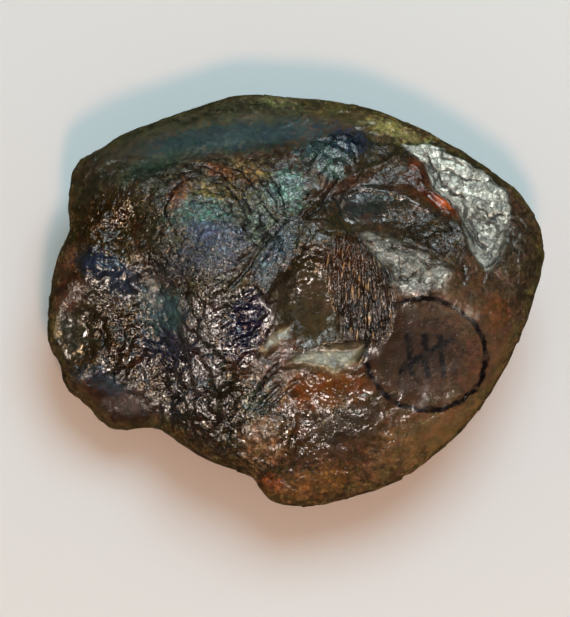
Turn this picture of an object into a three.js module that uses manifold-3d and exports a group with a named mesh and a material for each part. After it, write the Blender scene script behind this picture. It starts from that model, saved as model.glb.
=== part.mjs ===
// A rough sapphire: one water-worn, partly broken corundum crystal, lying on a flat parting face.
//
// Frame: millimetres, +Z up. X runs along the stone and Y across it. The origin is on the
// surface that the stone lies on, under the centre of its box.
import * as THREE from "three";
import { mergeVertices } from "three/addons/utils/BufferGeometryUtils.js";
import Module from "manifold-3d";

// Driving dimensions.
const LENGTH = 32;
const WIDTH = 26.7;
const HEIGHT = 14;

// How finely the stone is faceted: 20 * (DETAIL + 1)^2 triangles before the base is cut.
const DETAIL = 20;
// Share of the half turn from the top pole to the bottom one that the crown takes.
const CROWN_SHARE = 0.6;

// The widest line of the stone, seen from above: x, y and its height over the base.
const RIM = [
  [16.0, 3.26, 8.0],
  [15.42, -0.22, 7.9],
  [14.27, -3.2, 7.6],
  [12.85, -5.86, 7.1],
  [11.12, -8.2, 6.5],
  [9.0, -10.13, 6.0],
  [6.75, -11.69, 5.5],
  [4.11, -12.59, 5.0],
  [1.41, -13.22, 4.7],
  [-0.77, -13.16, 4.7],
  [-1.99, -12.57, 4.7],
  [-2.51, -11.6, 5.0],
  [-5.85, -10.2, 5.2],
  [-7.9, -8.8, 4.9],
  [-9.12, -7.95, 4.0],
  [-11.57, -8.04, 3.2],
  [-12.72, -7.38, 3.2],
  [-13.11, -6.81, 3.3],
  [-14.97, -5.32, 3.8],
  [-15.23, -3.88, 4.2],
  [-15.94, -2.89, 4.7],
  [-16.0, -1.35, 5.2],
  [-15.74, 1.17, 5.8],
  [-15.23, 3.1, 6.0],
  [-14.59, 4.55, 6.0],
  [-14.71, 6.31, 5.6],
  [-14.27, 8.86, 5.8],
  [-12.66, 9.71, 6.0],
  [-11.5, 10.63, 6.0],
  [-8.03, 11.97, 6.4],
  [-3.86, 13.22, 6.8],
  [0.0, 13.02, 7.2],
  [4.18, 12.37, 7.6],
  [7.97, 10.88, 7.8],
  [11.89, 8.56, 7.9],
  [14.78, 6.13, 7.9],
];
const RIM_STEPS = 900;

// How the crown rises from the rim, and how the underside falls from it, over 0 to 1 from
// the middle of the stone to the rim: (1 - share^spread)^lift.
const CROWN_RISE = { spread: 6.5, lift: 0.5 };
const BELLY_FALL = { spread: 6, lift: 0.5 };

// The uncut crown, a low dome: its highest point and how much it falls to each side.
const CROWN = { top: 13.4, at: [1, 0.5], fallX: 2.4, fallY: 2.4 };
// The uncut underside reaches below the base, so that the base is cut across it.
const BELLY = { bottom: -3.2, at: [-0.5, 0.2], riseX: 6.4, riseY: 6.0 };
// Radius that wear has left on the edges where two faces meet.
const WEAR = 0.7;

// Plane fracture faces that cut the crown: a face has its height at one point, and drops by
// fall for each millimetre along X and Y.
const CROWN_FACES = {
  silveryFace: { at: [10.7, 4.8], height: 10.5, fall: [0.1, 0.26] },
  backSlope: { at: [-3, 9.5], height: 10.0, fall: [-0.04, 0.4] },
  rightShoulder: { at: [9, -4.5], height: 10.9, fall: [0.26, -0.18] },
  frontShoulder: { at: [3, -8], height: 10.0, fall: [0.05, -0.4] },
  lowerFlank: { at: [-4.8, -6.0], height: 9.6, fall: [-0.08, -0.38] },
  leftSlope: { at: [-12, 1.5], height: 9.6, fall: [-0.32, -0.06] },
};
// Dished fracture faces: a bowl curves up by lip at the distance of its radii.
const CROWN_BOWLS = {
  darkHollow: { at: [5.9, 5.2], height: 10.6, radii: [3.7, 1.9], turn: -14, lip: 0.9 },
  oliveBasin: { at: [1.5, -2.3], height: 10.5, radii: [2.2, 3.2], turn: 10, lip: 0.9 },
  leftBasin: { at: [-11.6, -2.4], height: 8.0, radii: [2.9, 2.6], turn: 10, lip: 0.9 },
  pool: { at: [-13.9, -2.8], height: 7.0, radii: [1.6, 1.8], turn: 0, lip: 0.6 },
  valley: { at: [-10.4, -6.8], height: 5.9, radii: [2.0, 2.3], turn: -35, lip: 0.8 },
};

// Mounds that stand on the crown.
const CROWN_MOUNDS = {
  rippledDome: { at: [-5.4, 2.2], height: 0.6, radii: [4.2, 4.0], turn: 0 },
  crest: { at: [5.4, 0.6], height: 1.1, radii: [3.6, 1.6], turn: -22 },
  knob: { at: [2.6, 8.2], height: 0.9, radii: [1.7, 1.5], turn: 0 },
  blueRidge: { at: [-11.6, 1.1], height: 0.7, radii: [2.6, 1.2], turn: -32 },
  frontBulge: { at: [-2.0, -9.6], height: 0.6, radii: [1.8, 1.5], turn: 0 },
};

// Fracture faces that cut the underside, in the same terms: they rise by -fall.
const BELLY_FACES = {
  frontUndercut: { at: [2, -9.5], height: 0.7, fall: [0.02, 0.42] },
  backUndercut: { at: [3, 10], height: 0.9, fall: [0, -0.5] },
  rightUndercut: { at: [12, 1], height: 0.9, fall: [-0.55, 0.05] },
  leftUndercut: { at: [-11, 3], height: 0.4, fall: [0.4, -0.1] },
};

// Long swells that keep every face slightly uneven: height, length and heading of each.
const SWELLS = [
  { height: 0.12, length: 7.3, heading: 20 },
  { height: 0.09, length: 5.1, heading: 97 },
  { height: 0.07, length: 4.2, heading: 151 },
  { height: 0.05, length: 3.3, heading: 62 },
];

// Share of the swells' height that the underside keeps.
const BELLY_SWELL = 0.5;

const SKIN = { color: 0x4a4432, roughness: 0.32, metalness: 0 };

// Corners closer than this are one corner.
const SAME_POINT = 1e-4;

const radians = THREE.MathUtils.degToRad;

// The smaller of two heights, with the corner between them rounded over the given depth.
function softLower(a, b, depth) {
  const share = THREE.MathUtils.clamp(0.5 + (b - a) / (2 * depth), 0, 1);
  return THREE.MathUtils.lerp(b, a, share) - depth * share * (1 - share);
}

const softUpper = (a, b, depth) => -softLower(-a, -b, depth);

// Squared distance from a feature's centre, in its radii, along its own turned axes.
function spread({ at, radii, turn }, x, y) {
  const offset = new THREE.Vector2(x - at[0], y - at[1]);
  offset.rotateAround(new THREE.Vector2(), -radians(turn));
  return (offset.x / radii[0]) ** 2 + (offset.y / radii[1]) ** 2;
}

function faceHeight({ at, height, fall }, x, y) {
  return height - fall[0] * (x - at[0]) - fall[1] * (y - at[1]);
}

function swellHeight(x, y) {
  return SWELLS.reduce((sum, { height, length, heading }) => {
    const along = x * Math.cos(radians(heading)) + y * Math.sin(radians(heading));
    return sum + height * Math.sin((2 * Math.PI * along) / length);
  }, 0);
}

// Height of the crown over the point x, y, away from the rim.
function crownHeight(x, y) {
  const across = [(x - CROWN.at[0]) / (LENGTH / 2), (y - CROWN.at[1]) / (WIDTH / 2)];
  let height = CROWN.top - CROWN.fallX * across[0] ** 2 - CROWN.fallY * across[1] ** 2;
  for (const face of Object.values(CROWN_FACES)) {
    height = softLower(height, faceHeight(face, x, y), WEAR);
  }
  for (const mound of Object.values(CROWN_MOUNDS)) {
    height += mound.height * Math.exp(-spread(mound, x, y));
  }
  for (const bowl of Object.values(CROWN_BOWLS)) {
    height = softLower(height, bowl.height + bowl.lip * spread(bowl, x, y), WEAR);
  }
  return height + swellHeight(x, y);
}

// Height of the underside over the point x, y, away from the rim.
function bellyHeight(x, y) {
  const across = [(x - BELLY.at[0]) / (LENGTH / 2), (y - BELLY.at[1]) / (WIDTH / 2)];
  let height = BELLY.bottom + BELLY.riseX * across[0] ** 2 + BELLY.riseY * across[1] ** 2;
  for (const face of Object.values(BELLY_FACES)) {
    height = softUpper(height, faceHeight(face, x, y), WEAR);
  }
  return height + BELLY_SWELL * swellHeight(y, x);
}

const rimPoints = new THREE.CatmullRomCurve3(
  RIM.map((point) => new THREE.Vector3(...point)),
  true,
  "centripetal",
).getSpacedPoints(RIM_STEPS);
const rimAngles = rimPoints.map((point) => Math.atan2(point.y, point.x));

// The rim's distance from the stone's axis and its height, in one heading.
function rimAt(angle) {
  let nearest = 0;
  let gap = Infinity;
  rimAngles.forEach((candidate, i) => {
    const difference = Math.abs(Math.atan2(Math.sin(candidate - angle), Math.cos(candidate - angle)));
    if (difference < gap) [nearest, gap] = [i, difference];
  });
  const point = rimPoints[nearest];
  return { radius: Math.hypot(point.x, point.y), height: point.z };
}

// Carries a point of the unit sphere to the stone's surface.
function placeOnStone(direction) {
  const fromPole = Math.acos(THREE.MathUtils.clamp(direction.z, -1, 1)) / Math.PI;
  const isCrown = fromPole < CROWN_SHARE;
  const turn = isCrown ? fromPole / CROWN_SHARE : (1 - fromPole) / (1 - CROWN_SHARE);
  const share = Math.sin((turn * Math.PI) / 2);
  const angle = Math.atan2(direction.y, direction.x);
  const rim = rimAt(angle);
  const x = share * rim.radius * Math.cos(angle);
  const y = share * rim.radius * Math.sin(angle);
  const { spread: power, lift } = isCrown ? CROWN_RISE : BELLY_FALL;
  const away = (1 - share ** power) ** lift;
  const target = isCrown ? crownHeight(x, y) : bellyHeight(x, y);
  return direction.set(x, y, THREE.MathUtils.lerp(rim.height, target, away));
}

// The whole stone as a closed geometry, before its base is cut.
function uncutStone() {
  const sphere = new THREE.IcosahedronGeometry(1, DETAIL);
  sphere.deleteAttribute("normal");
  sphere.deleteAttribute("uv");
  const stone = mergeVertices(sphere, SAME_POINT);
  const places = stone.getAttribute("position");
  const point = new THREE.Vector3();
  for (let i = 0; i < places.count; i += 1) {
    placeOnStone(point.fromBufferAttribute(places, i));
    places.setXYZ(i, point.x, point.y, point.z);
  }
  return stone;
}

const wasm = await Module();
wasm.setup();

function solidFrom(geometry) {
  const merged = mergeVertices(geometry, SAME_POINT);
  return new wasm.Manifold(
    new wasm.Mesh({
      numProp: 3,
      vertProperties: new Float32Array(merged.getAttribute("position").array),
      triVerts: new Uint32Array(merged.index.array),
    }),
  );
}

function geometryFrom(solid) {
  const { vertProperties, triVerts } = solid.getMesh();
  const geometry = new THREE.BufferGeometry();
  geometry.setAttribute("position", new THREE.BufferAttribute(vertProperties, 3));
  geometry.setIndex(new THREE.BufferAttribute(triVerts, 1));
  geometry.computeVertexNormals();
  return geometry;
}

// A block that fills the space under the base plane.
function spaceUnderBase() {
  const block = new THREE.BoxGeometry(2 * LENGTH, 2 * WIDTH, HEIGHT).translate(0, 0, -HEIGHT / 2);
  block.deleteAttribute("normal");
  block.deleteAttribute("uv");
  return block;
}

// Trims the stone to its three driving dimensions, and centres it over the origin.
function fitToSize(geometry) {
  geometry.computeBoundingBox();
  const size = geometry.boundingBox.getSize(new THREE.Vector3());
  const centre = geometry.boundingBox.getCenter(new THREE.Vector3());
  geometry.translate(-centre.x, -centre.y, 0);
  return geometry.scale(LENGTH / size.x, WIDTH / size.y, HEIGHT / size.z);
}

const cut = solidFrom(uncutStone()).subtract(solidFrom(spaceUnderBase()));
const stone = new THREE.Mesh(fitToSize(geometryFrom(cut)), new THREE.MeshStandardMaterial(SKIN));
stone.name = "rough_sapphire";

const group = new THREE.Group();
group.add(stone);

export default group;
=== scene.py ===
"""A rough sapphire lying on a plain pale floor.

The stone's body comes from the frame. Its fine skin, ripples, crackle and fracture steps are
modelled here in millimetres over that body, and its colours are procedural. They carry painted
shade in the cracks, grooves and low places, painted glints, painted sheen on the pale faces and
painted glow at the thin rim.
"""

from __future__ import annotations

import logging
import math
from dataclasses import dataclass, field
from enum import Enum
from typing import Iterable

import bmesh
import bpy
import numpy as np
from mathutils import Matrix, Vector

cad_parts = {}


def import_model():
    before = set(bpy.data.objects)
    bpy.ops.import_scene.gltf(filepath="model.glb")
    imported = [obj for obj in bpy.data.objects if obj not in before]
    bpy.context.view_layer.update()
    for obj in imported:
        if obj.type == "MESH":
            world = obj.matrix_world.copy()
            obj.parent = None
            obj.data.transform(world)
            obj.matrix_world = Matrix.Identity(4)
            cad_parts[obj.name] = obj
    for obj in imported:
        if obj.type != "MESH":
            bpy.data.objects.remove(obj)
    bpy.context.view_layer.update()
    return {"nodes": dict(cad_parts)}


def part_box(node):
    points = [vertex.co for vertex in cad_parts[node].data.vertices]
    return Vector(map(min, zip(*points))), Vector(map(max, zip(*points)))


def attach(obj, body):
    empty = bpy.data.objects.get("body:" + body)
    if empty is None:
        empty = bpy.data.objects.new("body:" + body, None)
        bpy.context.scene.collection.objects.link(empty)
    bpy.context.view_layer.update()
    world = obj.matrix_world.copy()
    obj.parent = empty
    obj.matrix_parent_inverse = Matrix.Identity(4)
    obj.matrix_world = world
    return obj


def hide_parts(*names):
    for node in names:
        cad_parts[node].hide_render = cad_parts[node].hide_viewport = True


log = logging.getLogger("sapphire")

MM = 0.001
NODE = "rough_sapphire"

Colour = tuple[float, float, float]
Spot2 = tuple[float, float]
Bytes = tuple[int, int, int]

# What the skin's sheen adds to any colour in the studio, and the light on a flat place.
SHEEN: Colour = (0.006, 0.007, 0.006)
LIGHT = 0.9
DARKEST = 0.002

# A distance that is past anything on the stone, one with no end, and a rise next to none.
FAR = 9.0
ENDLESS = 1e6
NO_RISE = 1e-9


def linear(red: int, green: int, blue: int) -> Colour:
    """Return an sRGB colour of 0 to 255 as linear light.

    Args:
        red: Red, 0 to 255.
        green: Green.
        blue: Blue.

    Returns:
        Three parts of 0 to 1.
    """

    def channel(value: int) -> float:
        """Return one channel as linear light."""
        share = value / 255
        return share / 12.92 if share <= 0.04045 else ((share + 0.055) / 1.055) ** 2.4

    return channel(red), channel(green), channel(blue)


def under_sheen(red: int, green: int, blue: int) -> Colour:
    """Return the crystal's own colour where, with the skin's sheen on it, it looks as given."""
    seen = linear(red, green, blue)
    return tuple(max(DARKEST, (part - sheen) / LIGHT) for part, sheen in zip(seen, SHEEN))


def ease(low: float, high: float, value: np.ndarray) -> np.ndarray:
    """Return a smooth step from 0 at low to 1 at high."""
    share = np.clip((value - low) / (high - low), 0, 1)
    return share * share * (3 - 2 * share)


# ---------- Seeded noise ----------

EDGES = np.array(
    [[a, b, 0] for a in (-1, 1) for b in (-1, 1)]
    + [[a, 0, b] for a in (-1, 1) for b in (-1, 1)]
    + [[0, a, b] for a in (-1, 1) for b in (-1, 1)],
    float,
)
CELL_STEPS = [np.array(step) for step in np.ndindex(3, 3, 3)]

# Numbers that mix up the bits of a lattice cell, the seed and the salt.
AXIS_PRIMES = np.array((73856093, 19349663, 83492791), np.uint64)
SEED_PRIME, SALT_PRIME = 7919, 104729
MIXING_ROUNDS = ((15, 2246822519), (13, 3266489917))
LAST_SHIFT = 16
LOW_BITS = 0xFFFFFFFF

# What brings smooth noise to about -1 to 1, and how far each layer is moved from the last.
LUMP_GAIN = 1.5
LAYER_SHIFT = 17.3

# The seeds of winding lines and of pushes, how slowly the lines wander, and how thin they are.
WORM_SEED, WORM_BEND, WORM_GAIN = 5, 2.2, 2.2
PUSH_SEED, PUSH_SEED_STEP = 3, 11


@dataclass(frozen=True)
class Grain:
    """Noise over points in millimetres, the same on every run."""

    seed: int

    def _mixed(self, cell: np.ndarray, salt: int = 0) -> np.ndarray:
        """Return a well mixed whole number for each cell of the lattice.

        Args:
            cell: Whole numbers of the cell, one row each.
            salt: Gives another set of numbers for the same cell.

        Returns:
            One number of 32 bits for each row.
        """
        number = np.bitwise_xor.reduce(cell.astype(np.uint64) * AXIS_PRIMES, axis=1)
        number ^= np.uint64((self.seed * SEED_PRIME + salt * SALT_PRIME) & LOW_BITS)
        for shift, factor in MIXING_ROUNDS:
            number ^= number >> np.uint64(shift)
            number = (number * np.uint64(factor)) & np.uint64(LOW_BITS)
        return number ^ (number >> np.uint64(LAST_SHIFT))

    def _scatter(self, cell: np.ndarray) -> np.ndarray:
        """Return three random numbers of 0 to 1 for each cell."""
        return np.stack([self._mixed(cell, salt) / 2.0**32 for salt in (1, 2, 3)], axis=1)

    def lumps(self, points: np.ndarray, length: float) -> np.ndarray:
        """Return smooth noise of about -1 to 1.

        Args:
            points: Places in millimetres, one row each.
            length: Distance over which the noise rises and falls.

        Returns:
            One value for each point.
        """
        place = points / length
        cell = np.floor(place).astype(np.int64)
        part = place - cell
        fade = part**3 * (part * (part * 6 - 15) + 10)
        total = np.zeros(len(points))
        for corner in np.ndindex(2, 2, 2):
            slope = EDGES[(self._mixed(cell + corner) % np.uint64(len(EDGES))).astype(int)]
            pull = ((part - corner) * slope).sum(axis=1)
            share = np.where(corner, fade, 1 - fade).prod(axis=1)
            total += share * pull
        return LUMP_GAIN * total

    def layers(self, points: np.ndarray, length: float, count: int) -> np.ndarray:
        """Return noise made of several layers, each half as long and half as high.

        Args:
            points: Places in millimetres.
            length: Size of the largest lumps.
            count: How many layers there are.

        Returns:
            One value of about -1 to 1 for each point.
        """
        total = np.zeros(len(points))
        for layer in range(count):
            shifted = points + LAYER_SHIFT * layer
            total += Grain(self.seed + layer).lumps(shifted, length / 2**layer) / 2**layer
        return total / (2 - 2.0 ** (1 - count))

    def worms(self, points: np.ndarray, length: float, wander: float) -> np.ndarray:
        """Return 0 along thin winding lines and up to 1 between them.

        Args:
            points: Places in millimetres.
            length: Distance between the lines.
            wander: How far the lines stray, in millimetres.

        Returns:
            One value for each point.
        """
        pushed = points + wander * self.push(points, WORM_BEND * length)
        lines = np.abs(Grain(self.seed + WORM_SEED).lumps(pushed, length))
        return np.clip(lines * WORM_GAIN, 0, 1)

    def push(self, points: np.ndarray, length: float) -> np.ndarray:
        """Return a smooth random vector for each point, to bend other patterns with."""
        seeds = [self.seed + PUSH_SEED_STEP * axis + PUSH_SEED for axis in range(3)]
        return np.stack([Grain(seed).lumps(points, length) for seed in seeds], axis=1)

    def cells(self, points: np.ndarray, length: float) -> tuple[np.ndarray, np.ndarray, np.ndarray]:
        """Divide space into cells about length across.

        Args:
            points: Places in millimetres.
            length: Distance between the middles of the cells.

        Returns:
            How far each point is from the border of its cell, 0 to about 1; the vector from
            the cell's middle in lengths; and three random numbers of the cell's own.
        """
        place = points / length
        cell = np.floor(place).astype(np.int64)
        near = np.full(len(points), FAR)
        second = np.full(len(points), FAR)
        offset = np.zeros_like(points)
        own = np.zeros_like(points)
        for step in CELL_STEPS:
            corner = cell + step - 1
            scatter = self._scatter(corner)
            away = place - corner - scatter
            gap = np.sqrt((away**2).sum(axis=1))
            closer = gap < near
            second = np.where(closer, near, np.minimum(second, gap))
            near = np.where(closer, gap, near)
            offset[closer] = away[closer]
            own[closer] = np.roll(scatter[closer], -1, axis=1)
        return second - near, offset, own


# ---------- Places on the stone, seen from above ----------

# The noise that frays the edges of places and bends lines.
FRAY = Grain(71)
FRAY_LENGTH, FRAY_LAYERS = 1.1, 3
BEND_LENGTH, BEND_SHIFT = 0.7, 40

# How far up the skin has to face to belong to the crown.
CROWN_STARTS, CROWN_IS_FULL = 0.05, 0.4


class Sheet:
    """Points on the stone, with the slow noise that many of its patterns share."""

    def __init__(self, points: np.ndarray, normals: np.ndarray) -> None:
        """Keep the points and work out what every pattern needs of them.

        Args:
            points: Places in millimetres, one row each.
            normals: The surface's direction at each place.
        """
        self.points = points
        self.crown = ease(CROWN_STARTS, CROWN_IS_FULL, normals[:, 2])
        self.fray = FRAY.layers(points, FRAY_LENGTH, FRAY_LAYERS)
        self.bend = FRAY.push(points + BEND_SHIFT, BEND_LENGTH)
        self.shares: dict[Place, np.ndarray] = {}

    def share(self, place: Place) -> np.ndarray:
        """Return how much of each point belongs to a place on the crown, 0 to 1.

        Args:
            place: The place.

        Returns:
            One value for each point.
        """
        if place not in self.shares:
            self.shares[place] = self.crown * place.value.share(self)
        return self.shares[place]


@dataclass(frozen=True)
class Spot:
    """A soft-edged ellipse on the crown."""

    at: Spot2
    radii: Spot2
    turn: float = 0.0
    blur: float = 0.5
    fray: float = 0.25

    def share(self, sheet: Sheet) -> np.ndarray:
        """Return 1 inside the spot, 0 outside and a smooth step across its blurred edge.

        Args:
            sheet: The points.

        Returns:
            One value for each point.
        """
        turn = math.radians(self.turn)
        dx, dy = sheet.points[:, 0] - self.at[0], sheet.points[:, 1] - self.at[1]
        along = (dx * math.cos(turn) + dy * math.sin(turn)) / self.radii[0]
        across = (dy * math.cos(turn) - dx * math.sin(turn)) / self.radii[1]
        away = np.hypot(along, across) - self.fray * sheet.fray
        return 1 - ease(1 - self.blur, 1 + self.blur, away)


@dataclass(frozen=True)
class Patch:
    """An area of the crown with corners, whose edge is frayed by noise."""

    corners: tuple[Spot2, ...]
    blur: float = 0.12
    fray: float = 0.3

    def depth(self, place: np.ndarray) -> np.ndarray:
        """Return how far inside the outline each place is, negative outside.

        Args:
            place: X and Y of each point.

        Returns:
            Distances in millimetres.
        """
        ring = np.array(self.corners)
        nearest = np.full(len(place), np.inf)
        inside = np.zeros(len(place), bool)
        for start, end in zip(ring, np.roll(ring, -1, axis=0)):
            edge = end - start
            reach = np.clip(((place - start) @ edge) / (edge @ edge), 0, 1)
            nearest = np.minimum(nearest, np.hypot(*(place - start - reach[:, None] * edge).T))
            spans = (start[1] > place[:, 1]) != (end[1] > place[:, 1])
            rise = edge[1] if edge[1] else NO_RISE
            inside ^= spans & (place[:, 0] < start[0] + edge[0] * (place[:, 1] - start[1]) / rise)
        return np.where(inside, nearest, -nearest)

    def share(self, sheet: Sheet) -> np.ndarray:
        """Return 1 inside the patch, 0 outside and a smooth step across its frayed edge."""
        frayed = self.depth(sheet.points[:, :2]) + self.fray * sheet.fray
        return ease(-self.blur, self.blur, frayed)


class Place(Enum):
    """The stone's named areas."""

    BAND = Spot((-4.6, 9.9), (8.6, 1.5), 6, 0.35)
    SWIRL = Spot((-4.6, 3.4), (5.4, 4.4), 0, 0.25)
    FLANK = Patch(
        (
            (-7.3, -0.6), (-5.4, -0.2), (-3.4, -0.9), (-2.0, -1.6), (-2.2, -3.6), (-3.5, -5.6),
            (-4.6, -8.0), (-6.8, -8.4), (-8.0, -6.2), (-6.9, -3.8),
        ),
        blur=0.5,
        fray=0.8,
    )
    LOW_FLANK = Spot((-5.6, -7.0), (4.2, 2.8), -30, 0.4)
    NAVY = Patch(
        ((-5.0, -0.4), (-3.0, -0.2), (-1.9, -2.2), (-1.2, -3.6), (-3.4, -5.2), (-4.8, -4.0)),
        blur=0.4,
    )
    FRONT_GLINTS = Spot((-1.8, -9.4), (2.2, 1.9), 0, 0.5)
    FRONT = Spot((2.8, -9.6), (4.0, 2.6), 0, 0.4)
    LEFT = Spot((-11.8, 3.2), (3.2, 3.0), 0, 0.4)
    LEFT_MIDDLE = Spot((-11.2, -3.2), (3.2, 2.6), 0, 0.4)
    BLUE_RIDGE = Spot((-11.8, 1.0), (2.6, 1.1), -32, 0.4)
    LOBE = Spot((-12.0, -7.0), (3.6, 1.6), -10, 0.4)
    POOL = Spot((-14.1, -2.7), (1.4, 1.5), 0, 0.6)
    INK = Spot((8.4, -4.6), (3.8, 3.5), 0, 0.9)
    AMBER = Spot((2.2, -7.0), (3.2, 1.4), 0, 0.5)
    RUST = Spot((9.3, 5.3), (1.8, 0.8), -35, 0.4)
    BROW = Spot((0.3, 1.2), (1.7, 1.3), 30, 0.4)
    SHOULDER = Spot((9.4, -5.4), (5.0, 5.2), 0, 0.4)
    BASIN = Patch(
        ((0.3, 1.2), (1.6, 1.3), (2.4, -0.6), (2.5, -3.0), (1.5, -4.1), (0.0, -3.9), (-0.5, -1.6)),
        blur=0.8,
    )
    CLIFF = Patch(
        (
            (1.6, 1.4), (2.7, 3.0), (3.9, 3.1), (5.0, 1.2), (6.1, -0.6), (6.2, -1.6),
            (5.8, -3.7), (4.6, -4.1), (3.0, -3.8), (2.5, -0.8),
        ),
        blur=0.35,
    )
    WALL = Patch(
        (
            (-0.6, -5.3), (0.0, -4.7), (1.1, -4.4), (2.2, -4.2), (3.4, -4.1), (4.6, -3.9),
            (4.0, -4.9), (3.3, -5.5), (2.7, -6.0), (1.7, -5.5), (0.6, -5.4),
        ),
        blur=0.25,
        fray=0.15,
    )
    SLIVER = Patch(
        (
            (-2.2, -4.5), (-1.6, -3.5), (-1.0, -3.0), (-0.1, -2.6),
            (-0.4, -3.5), (-1.1, -4.1), (-1.9, -4.6),
        ),
        blur=0.15,
        fray=0.12,
    )
    HOLLOW = Patch(
        (
            (2.6, 4.6), (3.4, 5.5), (5.1, 5.8), (6.7, 5.8), (8.0, 5.4),
            (8.6, 4.7), (6.7, 4.2), (5.1, 3.5), (3.5, 3.0), (2.8, 3.7),
        ),
        blur=0.7,
    )
    ROUGH_HOLLOW = Spot((8.4, 3.3), (2.6, 1.2), -22, 0.4)
    KNOB = Patch(
        ((0.9, 9.3), (3.0, 10.1), (4.3, 9.6), (3.9, 7.8), (2.7, 6.2), (1.3, 7.0)),
        blur=0.3,
    )
    STRIP = Patch(((-0.2, 3.7), (0.5, 2.9), (-0.6, 0.6), (-1.8, -1.2), (-2.8, -0.4), (-1.5, 1.9)))
    MINT = Patch(((-1.2, 7.0), (0.0, 7.2), (0.7, 6.0), (0.2, 4.3), (-0.4, 4.7), (-1.0, 6.0)))
    CRESCENT = Patch(
        (
            (3.9, 2.9), (4.6, 3.1), (5.7, 2.6), (6.9, 2.2), (8.2, 1.6), (9.4, 1.0), (10.0, 0.2),
            (9.4, -0.9), (7.8, -1.3), (6.4, -1.0), (5.8, -0.2), (5.2, 0.8), (4.5, 1.6),
        ),
        blur=0.35,
    )
    SILVER = Patch(
        (
            (6.9, 9.3), (8.4, 9.4), (9.8, 9.0), (11.2, 8.2), (12.5, 7.2), (13.4, 6.3),
            (13.8, 5.2), (13.7, 4.1), (13.1, 2.2), (12.1, 0.8), (11.3, 1.9), (10.9, 2.5),
            (10.7, 3.9), (10.4, 5.0), (9.5, 5.7), (8.7, 6.1), (8.6, 7.2), (8.2, 8.0),
        )
    )


# ---------- Relief ----------

# How far the borders between chips wander, and the highest step between two of them.
CHIPS = Grain(53)
CHIP_BEND, CHIP_STEP = 0.3, 0.08

# How far off a line still has an effect, the share of its length over which each end fades, how
# fast a step beside it fades, and how wide a crack's painted shade is marked for the finish.
LINE_REACH, LINE_TAPER = 1.4, 0.15
STEP_FADE = 0.3
CRACK_SHOWS, CRACK_ENDS = 0.16, 0.26

# The noise of the skin's flakes, of the cliff's ridges and of the beads on them.
FLAKES, RIDGES, RIDGE_BEADS = Grain(59), Grain(31), Grain(32)

# The fan of close ridges down the cliff: where it is closest, and how it widens from there.
FAN_MIDDLE, FAN_TOP, FAN_SPREAD = 3.6, 3.5, 0.1


@dataclass(frozen=True)
class Dent:
    """A rounded hollow, or with a negative depth a swelling."""

    place: Spot
    depth: float

    def rise(self, sheet: Sheet) -> np.ndarray:
        """Return how far the dent lifts each point."""
        return -self.depth * sheet.crown * self.place.share(sheet)


@dataclass(frozen=True)
class Line:
    """A ridge, or with a negative height a groove, along a line over the crown.

    A step lifts the line's left side and lowers its right. A line with painted shade is a crack
    that the finish darkens with painted shade too.
    """

    route: tuple[Spot2, ...]
    height: float
    width: float
    wander: float = 0.15
    dark: float = 0.0
    step: float = 0.0

    def track(self, sheet: Sheet) -> tuple[np.ndarray, np.ndarray, np.ndarray]:
        """Follow the line.

        Args:
            sheet: The points.

        Returns:
            The numbers of the points near the line; how far each is to its left, negative to
            its right; and a share that fades towards the line's ends.
        """
        route = np.array(self.route)
        flat = sheet.points[:, :2]
        beside = (flat > route.min(axis=0) - LINE_REACH) & (flat < route.max(axis=0) + LINE_REACH)
        close = np.nonzero(beside.all(axis=1))[0]
        bent = flat[close] + self.wander * sheet.bend[close, :2]
        legs = np.hypot(*np.diff(route, axis=0).T)
        best = np.full(len(bent), FAR)
        along = np.zeros(len(bent))
        done = 0.0
        for start, end, leg in zip(route[:-1], route[1:], legs):
            edge = end - start
            reach = np.clip(((bent - start) @ edge) / (edge @ edge), 0, 1)
            away = bent - start - reach[:, None] * edge
            gap = np.hypot(*away.T) * np.where(edge[0] * away[:, 1] > edge[1] * away[:, 0], 1, -1)
            closer = np.abs(gap) < np.abs(best)
            best = np.where(closer, gap, best)
            along = np.where(closer, (done + reach * leg) / legs.sum(), along)
            done += leg
        return close, best, ease(0, LINE_TAPER, along) * ease(0, LINE_TAPER, 1 - along)

    def lift(self, sheet: Sheet, height: np.ndarray) -> None:
        """Add the line's height over each point to the heights.

        Args:
            sheet: The points.
            height: Their heights by now, which are changed.
        """
        close, gap, taper = self.track(sheet)
        profile = self.height * np.exp(-((gap / self.width) ** 2))
        profile += self.step * np.tanh(gap / self.width) * np.exp(-np.abs(gap) / STEP_FADE)
        height[close] += sheet.crown[close] * taper * profile


@dataclass(frozen=True)
class Face:
    """A plane fracture face, by its rise along X and Y and how far it is sunk.

    The pull is the share of the way that points move to its plane.
    """

    place: Place
    rise_x: float
    rise_y: float
    sink: float = 0.0
    pull: float = 1.0

    def rise(self, sheet: Sheet, height: np.ndarray) -> np.ndarray:
        """Return how far each point moves up to lie in the face's plane.

        Args:
            sheet: The points.
            height: Their heights by now.

        Returns:
            A lift for each point, 0 outside the face.
        """
        share = sheet.share(self.place)
        x, y = sheet.points[:, 0], sheet.points[:, 1]
        total = share.sum()
        mid_x, mid_y, mid_z = [(share * value).sum() / total for value in (x, y, height)]
        plane = mid_z - self.sink + self.rise_x * (x - mid_x) + self.rise_y * (y - mid_y)
        return self.pull * share * (plane - height)


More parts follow.
